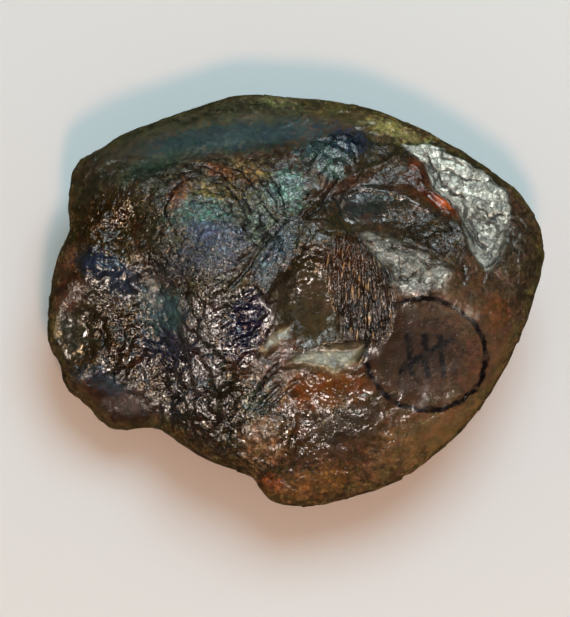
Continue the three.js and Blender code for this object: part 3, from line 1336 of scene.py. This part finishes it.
STAINS: tuple[Stain, ...] = (
    Stain("right body", (10.4, -3.9), (4.6, 5.4), 0, (96, 70, 50), 0.8),
    Stain("front body", (2.8, -9.7), (4.6, 3.0), 0, (82, 60, 40), 0.9),
    # Partly painted glow: light shining through the thin rim, over the rim's own amber.
    Stain("front right with painted glow", (7.9, -10.1), (4.2, 2.0), 35, (120, 92, 58), 0.8),
    Stain("front grey", (3.1, -8.6), (1.9, 1.1), 0, (60, 56, 46), 0.7),
    Stain("olive back", (-4.2, 11.7), (10.4, 1.3), 8, (78, 76, 54), 0.9),
    Stain("olive back right", (4.8, 10.9), (5.0, 1.0), -22, (96, 84, 48), 0.8),
    Stain("teal band", (-4.5, 9.7), (6.4, 1.1), 8, (40, 62, 62), 1.0),
    Stain("green band", (-9.4, 7.6), (2.4, 0.8), 15, (54, 76, 60), 0.9),
    Stain("olive left", (-12.2, 8.2), (2.9, 1.6), 25, (62, 58, 40), 0.8),
    Stain("lime back", (-1.2, 12.7), (1.3, 0.4), -3, (134, 128, 84), 0.8),
    Stain("lime right", (6.6, 10.4), (2.0, 0.6), -20, (166, 152, 88), 0.9),
    Stain("left crust", (-11.8, 4.1), (2.5, 2.0), 0, (56, 40, 20), 0.9),
    Stain("left edge rust", (-14.5, 0.1), (0.9, 1.3), 0, (88, 50, 28), 0.75),
    # Painted glint: a peach highlight on the left edge.
    Stain("peach painted glint", (-14.4, 2.3), (0.8, 0.8), 0, (130, 84, 54), 0.8),
    Stain("left hollow", (-11.9, -2.9), (2.2, 2.1), 0, (56, 44, 28), 0.9),
    Stain("blue ridge", (-11.8, 1.0), (2.5, 1.0), -32, (38, 51, 70), 0.9),
    Stain("teal ridge end", (-9.2, -0.4), (1.2, 0.9), -40, (48, 64, 66), 0.75),
    Stain("pool", (-14.2, -2.6), (1.3, 1.4), 0, (46, 46, 34), 0.9),
    Stain("lobe", (-11.6, -7.0), (3.5, 1.3), -10, (58, 40, 32), 0.9),
    Stain("lobe blue", (-12.2, -5.4), (1.9, 0.6), -20, (58, 72, 84), 0.85),
    Stain("left teal", (-8.3, -2.0), (1.5, 1.9), 0, (66, 98, 104), 0.9),
    Stain("left navy", (-7.9, -4.2), (1.8, 1.3), -20, (48, 58, 92), 0.9),
    Stain("low navy", (-7.4, -6.4), (1.7, 1.3), 0, (58, 66, 78), 0.85),
    Stain("flank brown", (-9.3, -5.3), (1.4, 1.3), 0, (60, 46, 34), 0.8),
    Stain("low flank", (-6.1, -6.9), (3.8, 2.4), -30, (50, 46, 40), 0.8),
    Stain("sparkling flank", (-5.6, -3.1), (2.4, 1.9), 60, (64, 62, 64), 0.8),
    # The swirl's stains are partly painted sheen: lightened to stand in for part of the skin's
    # sheen there, over their own zoned colours.
    Stain("swirl skin", (-4.6, 4.0), (4.3, 4.2), 0, (96, 94, 74), 0.85),
    Stain("swirl low", (-6.2, 1.2), (2.8, 1.0), 0, (66, 74, 88), 0.85),
    Stain("swirl left", (-8.4, 3.2), (1.1, 2.2), 0, (56, 56, 40), 0.8),
    Stain("swirl mint", (-2.2, 3.6), (1.0, 1.7), -5, (114, 126, 108), 0.9),
    Stain("swirl gold", (-2.6, 7.2), (1.3, 0.7), -25, (158, 128, 78), 0.85),
    Stain("swirl rust left", (-7.3, 5.6), (0.6, 1.2), -20, (140, 84, 46), 0.85),
    Stain("swirl rust back", (-4.4, 7.1), (1.8, 0.5), -28, (134, 84, 48), 0.85),
    Stain("swirl olive", (-4.9, 5.6), (1.8, 0.8), -5, (138, 120, 68), 0.85),
    Stain("swirl teal", (-5.9, 4.1), (1.7, 1.0), 0, (80, 128, 120), 0.9),
    Stain("swirl blue", (-5.3, 2.7), (1.8, 0.9), -15, (70, 82, 112), 0.85),
    # Partly painted sheen: the mint face's pale colour stands in for part of the soft lamp's
    # reflection.
    Stain("mint", (-0.5, 5.9), (1.1, 1.4), 0, (116, 150, 140), 0.9),
    Stain("teal strip", (-1.3, 1.5), (2.1, 0.8), 60, (56, 84, 98), 0.9),
    Stain("navy", (-3.1, -2.8), (2.2, 1.2), 60, (25, 29, 54), 0.95),
    # Painted highlight: lightens the front where its glints are.
    Stain("front painted glints", (-2.1, -9.7), (1.3, 1.4), 0, (150, 120, 88), 0.85),
    Stain("groove teal", (-1.9, -6.8), (1.8, 0.7), 50, (48, 70, 58), 0.85),
    Stain("amber", (2.0, -6.5), (3.2, 1.2), 10, (116, 72, 34), 0.85),
    Stain("rust", (-0.6, -4.3), (1.5, 0.9), 60, (92, 50, 28), 0.8),
    Stain("basin", (1.0, -1.2), (2.5, 2.9), 0, (66, 55, 36), 0.9),
    Stain("cliff amber", (3.4, 0.8), (1.3, 1.8), 0, (104, 62, 26), 0.85),
    Stain("cliff brown", (4.4, -2.1), (1.4, 2.0), 0, (56, 34, 22), 0.85),
    Stain("knob teal", (1.9, 8.6), (1.7, 1.2), 0, (70, 98, 96), 0.9),
    Stain("knob navy", (3.4, 9.4), (1.3, 0.9), 0, (44, 62, 84), 0.85),
    Stain("knob mint", (2.3, 7.0), (0.8, 0.8), 0, (104, 132, 118), 0.8),
    Stain("slate hollow", (4.9, 5.1), (3.3, 1.1), -12, (42, 50, 46), 0.95),
    Stain("crust", (8.2, 3.6), (2.4, 1.3), -20, (64, 52, 34), 0.9),
    Stain("edge rust back", (7.9, 7.2), (0.9, 1.4), -20, (82, 42, 22), 0.95),
    Stain("edge rust", (9.3, 5.3), (1.3, 0.6), -35, (106, 44, 12), 0.95),
    Stain("rust spark", (9.5, 5.3), (0.5, 0.3), -30, (206, 92, 28), 0.9, 0.9),
    Stain("rust spark back", (7.6, 7.9), (0.4, 0.3), 0, (150, 70, 26), 0.8, 0.9),
    Stain("orange ridge", (3.5, 6.3), (3.0, 0.3), 20, (90, 58, 38), 0.7),
    Stain("mauve", (8.2, -1.4), (2.7, 0.9), 0, (116, 90, 70), 0.7),
    Stain("ink shoulder", (7.4, -4.3), (3.2, 3.0), 0, (52, 42, 35), 0.8),
    Stain("orange right", (12.7, -1.6), (0.7, 0.8), 0, (116, 68, 34), 0.5),
    # Partly painted glow: the front rim's amber and red are lightened for light shining through the
    # thin edge, over their own colours.
    Stain("front rim amber with painted glow", (0.3, -12.4), (3.2, 0.9), 10, (136, 94, 46), 0.85),
    Stain("front rim red with painted glow", (-1.7, -12.1), (0.8, 0.5), 0, (164, 82, 22), 0.85),
)


@dataclass(frozen=True)
class Cloud:
    """Noise with a soft edge: it starts to show at one level and is full at another."""

    length: float
    starts: float
    full: float
    detail: float = 2.0

    def shows(self, bench: Bench, place: Value) -> Value:
        """Return where the cloud is, 0 to 1."""
        return noise(bench, place, self.length, self.detail).ease(self.starts, self.full)


# How much of each finer layer the noise has, and the layers of noise with three channels.
NOISE_ROUGHNESS = 0.55
TINT_DETAIL, TINT_ROUGHNESS = 3.0, 0.6


def noise(bench: Bench, place: object, length: float, detail: float = 2.0) -> Value:
    """Return noise of 0 to 1 with lumps of that length in millimetres."""
    inputs = {"Vector": place, "Scale": 1 / length, "Detail": detail, "Roughness": NOISE_ROUGHNESS}
    return bench.result("ShaderNodeTexNoise", {"noise_dimensions": "3D"}, inputs)


def sway(bench: Bench, place: Value, length: float, reach: float, detail: float = 2.0) -> Value:
    """Return noise that swings about 0, by half of the reach at most to each side."""
    return (noise(bench, place, length, detail) - 0.5) * reach


def winding(bench: Bench, place: Value, length: float, gain: float) -> Value:
    """Return 0 on winding lines, rising with the distance from them, and 1 at most."""
    return (abs(noise(bench, place, length, 1.0) - 0.5) * gain).least(1.0)


def tints(bench: Bench, place: Value, length: float) -> Value:
    """Return noise with its own value in each of three channels.

    Args:
        bench: Where nodes are added.
        place: Places in millimetres.
        length: Size of the lumps.

    Returns:
        A colour whose channels are 0 to 1.
    """
    inputs = {
        "Vector": place,
        "Scale": 1 / length,
        "Detail": TINT_DETAIL,
        "Roughness": TINT_ROUGHNESS,
    }
    return bench.result("ShaderNodeTexNoise", {"noise_dimensions": "3D"}, inputs, "Color")


def warped(bench: Bench, place: Value, length: float, reach: float) -> Value:
    """Return places pushed about by noise, so that patterns get natural edges."""
    return place + (tints(bench, place, length) - 0.5) * reach


@dataclass(frozen=True)
class InkMark:
    """A ring drawn by hand with a felt-tip, and three tally strokes with a slant over them."""

    at: Spot2 = (8.25, -4.6)
    radii: Spot2 = (3.85, 3.2)
    ring_line: tuple[float, float] = (0.08, 0.28)
    mean_radius: float = 3.5
    strokes: tuple[float, ...] = (-1.0, 0.0, 1.0)
    lean: float = 0.12
    half_height: float = 1.1
    slant: float = 0.55
    slant_narrows: float = 0.88
    slant_half_width: float = 1.7
    stroke_line: tuple[float, float] = (0.1, 0.32)
    line_end: float = 0.25
    shake: tuple[float, float] = (0.9, 0.7)
    worn: Cloud = Cloud(0.7, 0.32, 0.5, 3.0)
    left_when_worn: float = 0.25

    def stroke(self, away: Value, along: Value, half: float) -> Value:
        """Return where one stroke is.

        Args:
            away: Distance from the stroke's middle line.
            along: Distance along it from its middle.
            half: Half of its length.

        Returns:
            1 in the ink, 0 off it.
        """
        ends = (abs(along) - half).ease(0.0, self.line_end)
        return (1 - abs(away).ease(*self.stroke_line)) * (1 - ends)

    def shows(self, bench: Bench, place: Value) -> Value:
        """Return where the ink is, 0 to 1.

        Args:
            bench: Where nodes are added.
            place: Places in millimetres.

        Returns:
            The share of ink.
        """
        x, y, _ = warped(bench, place, *self.shake).parts()
        across, up = x - self.at[0], y - self.at[1]
        radius = ((across / self.radii[0]) ** 2 + (up / self.radii[1]) ** 2) ** 0.5
        ink = 1 - (abs(radius - 1) * self.mean_radius).ease(*self.ring_line)
        for at in self.strokes:
            ink = ink.most(self.stroke(across - at + up * self.lean, up, self.half_height))
        off_slant = (up - across * self.slant) * self.slant_narrows
        ink = ink.most(self.stroke(off_slant, across, self.slant_half_width))
        kept = self.left_when_worn + (1 - self.left_when_worn) * self.worn.shows(bench, place)
        return ink * kept * bench.mark("crown")


@dataclass(frozen=True)
class SapphireFinish:
    """The stone's skin: dark zoned crystal under a glossy, wrinkled natural surface."""

    body_brown: Colour = under_sheen(80, 60, 42)
    body_olive: Colour = under_sheen(66, 58, 38)
    # Partly painted glow: the lighter olive towards the thin rim stands in for light shining
    # through the edge, over the rim's own olive tone.
    rim_glow_olive: Colour = under_sheen(120, 102, 58)
    # Partly painted sheen: the pale colours of the silvery faces and the wall stand in for the soft
    # lamp's reflection on them, over their own pale tone.
    silver: Colour = linear(238, 240, 224)
    wall: Colour = linear(168, 156, 118)
    # Painted shade: the near black laid into the crackle's cracks, the low places of the relief,
    # the long cracks and the grooves between the cliff's ridges.
    shade_colour: Colour = linear(16, 13, 10)
    # A painted glint: the golden highlight laid on the crests of the cliff's ridges.
    gold: Colour = linear(222, 180, 126)
    ink: Colour = linear(5, 5, 11)
    ink_mark: InkMark = InkMark()

    # Optics.
    ior: float = 1.77
    metal: float = 0.3
    glitter: tuple[tuple[str, float], ...] = (
        ("crescent", 0.5),
        ("mint", 0.5),
        ("wall", 0.3),
        ("sliver", 0.3),
    )

    # Sizes in millimetres.
    cell: float = 0.34
    bead: float = 0.3
    pimple: float = 0.14
    stripe: Spot2 = (0.2, 2.2)
    tint: float = 0.7
    crack_line: tuple[float, float] = (0.045, 0.145)
    rim_line: tuple[float, float] = (0.05, 0.9)
    # How deep a low place of the fine relief is when its painted shade is full.
    hollow_shade_depth: float = 0.06

    # What bends or breaks up each edge: the length of its noise, its reach, and its layers.
    cell_bend: tuple[float, float] = (0.5, 0.6)
    stripe_bend: tuple[float, float] = (0.8, 0.25)
    stain_bend: tuple[float, float] = (1.8, 1.4)
    stain_break: tuple[float, float, float] = (0.3, 2.2, 3.0)
    rim_break: tuple[float, float] = (0.8, 1.6)
    crack_break: tuple[float, float] = (0.3, 0.12)
    rough_break: tuple[float, float] = (0.5, 0.1)

    # How steeply each pattern rises from its lines, with the length of its noise where it has one.
    cell_gain: float = 5.5
    bead_gain: float = 2.0
    vein: tuple[float, float] = (0.5, 10)
    ridge: tuple[float, float] = (1.0, 6)
    skin_gain: float = 36
    glint_line: tuple[float, float] = (0.7, 1.0)

    # The least brightness, and what the noise or a cell's own number adds to it.
    tint_range: tuple[float, float] = (0.55, 0.9)
    mottle: tuple[float, float] = (0.7, 4.0)
    mottle_range: tuple[float, float] = (0.35, 1.3)
    cell_range: tuple[float, float] = (1.05, 1.3)

    # Bump heights in millimetres. The cells' and pimples' are shares of the wrinkles' height.
    cell_height: float = 0.45
    cell_tilt: float = 5.0
    bead_height: float = 0.04
    pimple_height: float = 0.12
    least_pimple: float = 0.002
    stripe_height: float = 0.1
    crack_depth: float = 0.06

    # How much each layer of colour covers. The rim's layer is partly painted glow, the silvery,
    # crescent and wall layers are partly painted sheen, the gold is a painted glint, and the layers
    # between stripes, in the crackle, in low places and in cracks are painted shade.
    rim_glow_share: float = 0.4
    silver_sheen_shares: tuple[float, float] = (0.65, 0.3)
    crescent_sheen_share: float = 0.28
    wall_sheen_shares: tuple[float, float] = (0.25, 0.45)
    shade_between_stripes: float = 0.8
    painted_glint_share: float = 0.75
    crackle_shade_shares: tuple[float, float] = (0.85, 0.42)
    hollow_shade_share: float = 0.5
    crack_shade_share: float = 0.9
    ink_share: float = 0.97

    # Where the broken-up layers show.
    body: Cloud = Cloud(3.5, 0.4, 0.6)
    # Where the painted sheen of the silvery and pale faces shows.
    sheen_cloud: Cloud = Cloud(0.8, 0.3, 0.55)
    # Where the cliff's painted glints show.
    glints: Cloud = Cloud(0.6, 0.44, 0.56)
    beaded: Cloud = Cloud(0.9, 0.42, 0.62, 3.0)
    dull_end: Stain = Stain("dull end", (12.2, 3.6), (2.7, 3.6), 0, (0, 0, 0), 0.5, 0.6)

    def zone(self, bench: Bench, place: Value, stain: Stain, speckle: Value) -> Value:
        """Return where one stain shows, 0 to its strength.

        Args:
            bench: Where nodes are added.
            place: Places in millimetres.
            stain: The stain.
            speckle: Noise that breaks up its edge.

        Returns:
            The share of the stain.
        """
        inputs = {
            "Vector": place,
            "Location": (*stain.at, 0),
            "Rotation": (0, 0, math.radians(stain.turn)),
            "Scale": (*stain.radii, ENDLESS),
        }
        mapped = bench.result("ShaderNodeMapping", {"vector_type": "TEXTURE"}, inputs)
        away = mapped.length() + speckle
        return (1 - away.ease(1 - stain.blur, 1 + stain.blur)) * stain.strength

    def crackle(self, bench: Bench, place: Value) -> tuple[Value, Value, Value]:
        """Divide the skin into small cells with cracks between them.

        Args:
            bench: Where nodes are added.
            place: Places in millimetres.

        Returns:
            0 in the cracks and 1 inside the cells; a height in lengths that tilts each cell
            its own way; and a random number for each cell.
        """
        bent = warped(bench, place, *self.cell_bend)
        inputs = {"Vector": bent, "Scale": 1 / self.cell}
        edges = bench.result("ShaderNodeTexVoronoi", {"feature": "DISTANCE_TO_EDGE"}, inputs)
        cells = bench.add("ShaderNodeTexVoronoi", {"feature": "F1"}, inputs)
        own = Value(bench, cells.outputs["Color"])
        tilt = (bent - Value(bench, cells.outputs["Position"])).dot(own - 0.5)
        veins = winding(bench, bent, *self.vein)
        return (edges * self.cell_gain).least(veins), tilt, own.parts()[0]

    def stripes(self, bench: Bench, place: Value) -> Value:
        """Return the fine ridges that fan out down the cliff, 0 to 1.

        Args:
            bench: Where nodes are added.
            place: Places in millimetres.

        Returns:
            The ridges.
        """
        x, y, _ = warped(bench, place, *self.stripe_bend).parts()
        fan = (x - FAN_MIDDLE) / (1 + FAN_TOP * FAN_SPREAD - y * FAN_SPREAD)
        inputs = {0: fan / self.stripe[0], 1: y / self.stripe[1], 2: 0.0}
        stretched = bench.result("ShaderNodeCombineXYZ", {}, inputs)
        return winding(bench, stretched, *self.ridge)

    def crystal(self, bench: Bench, place: Value) -> Value:
        """Return the colour of the body and its stains, with the painted glow at its rim and the
        painted sheen of the silvery and pale faces.

        Args:
            bench: Where nodes are added.
            place: Places in millimetres.

        Returns:
            The colour under the cracks' painted shade and the ink.
        """
        pushed = warped(bench, place, *self.stain_bend)
        crown = bench.mark("crown")
        speckle = sway(bench, place, *self.stain_break)
        colour = bench.mix(self.body.shows(bench, place), self.body_brown, self.body_olive)
        for stain in STAINS:
            share = self.zone(bench, pushed, stain, speckle) * crown
            colour = bench.mix(share, colour, under_sheen(*stain.seen))
        # Painted glow: the rim is lightened towards olive where light would shine through the thin
        # edge.
        inside = bench.mark("edge") + sway(bench, place, *self.rim_break)
        rim = (1 - inside.ease(*self.rim_line)) * self.rim_glow_share
        colour = bench.mix(rim, colour, self.rim_glow_olive)
        least, more = self.tint_range
        colour = colour * (least + tints(bench, place, self.tint) * more)
        # Painted sheen: the silvery, crescent, wall and sliver faces are laid over with pale
        # colours, broken up by noise and dulled at the silver's end, that stand in for the soft
        # lamp's reflection.
        shows = self.sheen_cloud.shows(bench, place)
        dulled = self.zone(bench, pushed, self.dull_end, speckle)
        always, sometimes = self.silver_sheen_shares
        painted_sheen = bench.mark("silver") * (always + sometimes * shows - dulled)
        colour = bench.mix(painted_sheen, colour, self.silver)
        crescent = bench.mark("crescent") * self.crescent_sheen_share * shows
        colour = bench.mix(crescent, colour, self.silver)
        always, sometimes = self.wall_sheen_shares
        for name in ("wall", "sliver"):
            share = bench.mark(name) * (always + sometimes * shows)
            colour = bench.mix(share, colour, self.wall)
        return colour

    def colour(
        self, bench: Bench, place: Value, crackle: Value, cell: Value, stripes: Value
    ) -> Value:
        """Return the skin's base colour, with painted shade and painted glints in it.

        Args:
            bench: Where nodes are added.
            place: Places in millimetres.
            crackle: 0 in the skin's cracks.
            cell: A random number for each cell between them.
            stripes: The cliff's ridges.

        Returns:
            The colour.
        """
        skin = (bench.mark("skin") * self.skin_gain).least(1.0)
        least, more = self.mottle_range
        mottle = least + noise(bench, place, *self.mottle) * more
        middle, span = self.cell_range
        mottle = mottle * (middle + (cell - 0.5) * skin * span)
        colour = self.crystal(bench, place) * mottle
        cliff = bench.mark("cliff")
        # Painted shade in the grooves between the cliff's ridges, and painted golden glints on
        # their crests.
        colour = bench.mix(cliff * (1 - stripes) * self.shade_between_stripes, colour, self.shade_colour)
        glint = stripes.ease(*self.glint_line) * self.glints.shows(bench, place)
        colour = bench.mix(cliff * glint * self.painted_glint_share, colour, self.gold)
        # Painted shade: the crackle's cracks, the low places of the fine relief and the long cracks
        # are darkened.
        pale = bench.mark("silver").most(bench.mark("crescent"))
        full, less_when_pale = self.crackle_shade_shares
        dark = (
            (1 - crackle) * skin * (full - less_when_pale * pale),
            (0 - bench.mark("relief")).ease(0.0, self.hollow_shade_depth) * self.hollow_shade_share,
            self.open_cracks(bench, place) * self.crack_shade_share,
        )
        for share in dark:
            colour = bench.mix(share, colour, self.shade_colour)
        return bench.mix(self.ink_mark.shows(bench, place) * self.ink_share, colour, self.ink)

    def open_cracks(self, bench: Bench, place: Value) -> Value:
        """Return where the long cracks are, 0 to 1; the finish paints shade into them."""
        gap = bench.mark("gap") + sway(bench, place, *self.crack_break)
        return bench.mark("dark") * (1 - abs(gap).ease(*self.crack_line))

    def bump(
        self, bench: Bench, place: Value, crackle: Value, tilt: Value, stripes: Value
    ) -> Value:
        """Return the skin's normal, with the wrinkles and beads too fine for the mesh.

        Args:
            bench: Where nodes are added.
            place: Places in millimetres.
            crackle: 0 in the skin's cracks.
            tilt: How each cell between them leans.
            stripes: The cliff's ridges.

        Returns:
            The normal.
        """
        inputs = {"Vector": place, "Scale": 1 / self.bead}
        distance = bench.result("ShaderNodeTexVoronoi", {"feature": "F1"}, inputs)
        beads = 1 - (distance * self.bead_gain).least(1.0) ** 2
        where = self.beaded.shows(bench, place) * bench.mark("beads")
        pimples = noise(bench, place, self.pimple, 1.0)
        skin = bench.mark("skin")
        height = crackle * (skin * self.cell_height) + tilt * (skin * self.cell_tilt)
        height = height + beads * where * self.bead_height
        height = height + pimples * (skin * self.pimple_height + self.least_pimple)
        height = height + bench.mark("cliff") * stripes * self.stripe_height
        height = height - self.open_cracks(bench, place) * self.crack_depth
        inputs = {"Strength": 1.0, "Distance": MM, "Height": height}
        return bench.result("ShaderNodeBump", {}, inputs)

    def shine(self, bench: Bench) -> Value:
        """Return how much of the silvery faces' glitter each point has, 0 to 1.

        Args:
            bench: Where nodes are added.

        Returns:
            The share.
        """
        shine = bench.mark("silver")
        for name, share in self.glitter:
            shine = shine.most(bench.mark(name) * share)
        return shine

    def dress(self, piece: bpy.types.Object) -> None:
        """Give the stone its material.

        Args:
            piece: The stone's object.
        """
        material = bpy.data.materials.new("sapphire_skin")
        material.use_nodes = True
        bench = Bench(material.node_tree)
        place = bench.result("ShaderNodeTexCoord", {}, {}, "Object") * (1 / MM)
        crackle, tilt, cell = self.crackle(bench, place)
        stripes = self.stripes(bench, place)
        inputs = {
            "Base Color": self.colour(bench, place, crackle, cell, stripes),
            "Roughness": bench.mark("rough") + sway(bench, place, *self.rough_break),
            "Metallic": self.shine(bench) * self.metal,
            "IOR": self.ior,
            "Normal": self.bump(bench, place, crackle, tilt, stripes),
        }
        skin = bench.result("ShaderNodeBsdfPrincipled", {}, inputs)
        bench.add("ShaderNodeOutputMaterial", {}, {"Surface": skin})
        piece.data.materials.clear()
        piece.data.materials.append(material)


# ---------- Studio ----------


class Reach(Enum):
    """What a lamp lights: the colours of things, or only the gloss on them."""

    SHADE = "shade"
    GLOSS = "gloss"


@dataclass(frozen=True)
class Lamp:
    """One area light, aimed at the stone."""

    name: str
    reach: Reach
    heading: float
    elevation: float
    size: float
    power: float
    colour: Colour
    distance: float = 0.38

    def hang(self, target: Vector) -> None:
        """Place the light and aim it at the target.

        Args:
            target: The point that the light looks at.
        """
        light = bpy.data.lights.new(self.name, "AREA")
        light.shape = "DISK"
        light.size = self.size
        light.energy = self.power
        light.color = self.colour
        lamp = bpy.data.objects.new(self.name, light)
        turn, lift = math.radians(self.heading), math.radians(self.elevation)
        level = math.cos(lift)
        out = Vector((math.sin(turn) * level, math.cos(turn) * level, math.sin(lift)))
        lamp.location = target + out * self.distance
        lamp.rotation_euler = out.to_track_quat("Z", "Y").to_euler()
        lamp.visible_glossy = self.reach is Reach.GLOSS
        lamp.visible_diffuse = self.reach is Reach.SHADE
        bpy.context.scene.collection.objects.link(lamp)


@dataclass
class Studio:
    """The pale floor, the lights, the room and the camera."""

    floor_size: float = 3.0
    floor_colour: Colour = linear(240, 239, 238)
    floor_roughness: float = 0.8
    room_colour: Colour = (1.0, 0.94, 0.76)
    room_overhead: float = 0.24
    room_round: float = 0.7
    lit: tuple[float, float, float] = (0.0, 0.0, 7.0 * MM)
    target: tuple[float, float, float] = (-0.643 * MM, -0.76 * MM, 7.0 * MM)
    elevation: float = 78.0
    distance: float = 260 * MM
    lens: float = 236.1
    nearest_seen: float = 10 * MM
    lamps: tuple[Lamp, ...] = (
        Lamp("sky_lamp", Reach.SHADE, 24, 62, 0.24, 0.82, (0.54, 0.84, 1.0)),
        Lamp("warm_lamp", Reach.SHADE, 172, 62, 0.03, 0.162, (1.0, 0.49, 0.32), 0.22),
        Lamp("sky_gloss", Reach.GLOSS, 20, 62, 0.18, 0.54, (0.85, 0.97, 1.0)),
        Lamp("left_gloss", Reach.GLOSS, 306, 50, 0.09, 0.17, (0.88, 1.0, 0.95)),
        Lamp("front_spark", Reach.GLOSS, 177, 62, 0.085, 0.72, (1.0, 0.86, 0.78)),
        Lamp("flank_spark", Reach.GLOSS, 228, 28, 0.055, 0.34, (1.0, 0.84, 0.7)),
        Lamp("right_spark", Reach.GLOSS, 114, 43, 0.04, 0.08, (1.0, 0.8, 0.62)),
        Lamp("left_spark", Reach.GLOSS, 252, 45, 0.045, 0.2, (1.0, 0.68, 0.4)),
    )

    def floor(self) -> None:
        """Lay the floor."""
        mesh = bpy.data.meshes.new("floor")
        half = self.floor_size / 2
        corners = [(-half, -half, 0), (half, -half, 0), (half, half, 0), (-half, half, 0)]
        mesh.from_pydata(corners, [], [(0, 1, 2, 3)])
        floor = bpy.data.objects.new("floor", mesh)
        bpy.context.scene.collection.objects.link(floor)
        material = bpy.data.materials.new("floor_paper")
        material.use_nodes = True
        bench = Bench(material.node_tree)
        inputs = {
            "Base Color": self.floor_colour,
            "Roughness": self.floor_roughness,
            "Specular IOR Level": 0.0,
        }
        paper = bench.result("ShaderNodeBsdfPrincipled", {}, inputs)
        bench.add("ShaderNodeOutputMaterial", {}, {"Surface": paper})
        mesh.materials.append(material)
        floor.visible_glossy = False

    def room(self) -> None:
        """Light the stone softly from all round, and less from straight above."""
        scene = bpy.context.scene
        scene.world = bpy.data.worlds.new("room")
        scene.world.use_nodes = True
        bench = Bench(scene.world.node_tree)
        up = bench.result("ShaderNodeTexCoord", {}, {}, "Generated").parts()[2]
        strength = self.room_overhead + self.room_round * (1 - up.most(0.0)) ** 2
        inputs = {"Color": self.room_colour, "Strength": strength}
        sky = bench.result("ShaderNodeBackground", {}, inputs)
        bench.add("ShaderNodeOutputWorld", {}, {"Surface": sky})
        scene.world.cycles_visibility.glossy = False

    def camera(self) -> None:
        """Set the camera over the stone."""
        lens = bpy.data.cameras.new("camera")
        lens.lens = self.lens
        lens.clip_start = self.nearest_seen
        camera = bpy.data.objects.new("camera", lens)
        lift = math.radians(self.elevation)
        back = Vector((0, -math.cos(lift), math.sin(lift)))
        camera.location = Vector(self.target) + back * self.distance
        camera.rotation_euler = back.to_track_quat("Z", "Y").to_euler()
        bpy.context.scene.collection.objects.link(camera)
        bpy.context.scene.camera = camera

    def build(self) -> None:
        """Set up everything round the stone."""
        bpy.context.scene.view_settings.view_transform = "Standard"
        self.floor()
        self.room()
        self.camera()
        for lamp in self.lamps:
            lamp.hang(Vector(self.lit))
        log.info("studio: %d lamps", len(self.lamps))


def main() -> None:
    """Build the stone and its studio."""
    logging.basicConfig(level=logging.INFO, format="%(name)s: %(message)s")
    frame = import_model()
    stone = Stone().build(frame["nodes"][NODE])
    SapphireFinish().dress(stone)
    Studio().build()


if __name__ == "__main__":
    main()
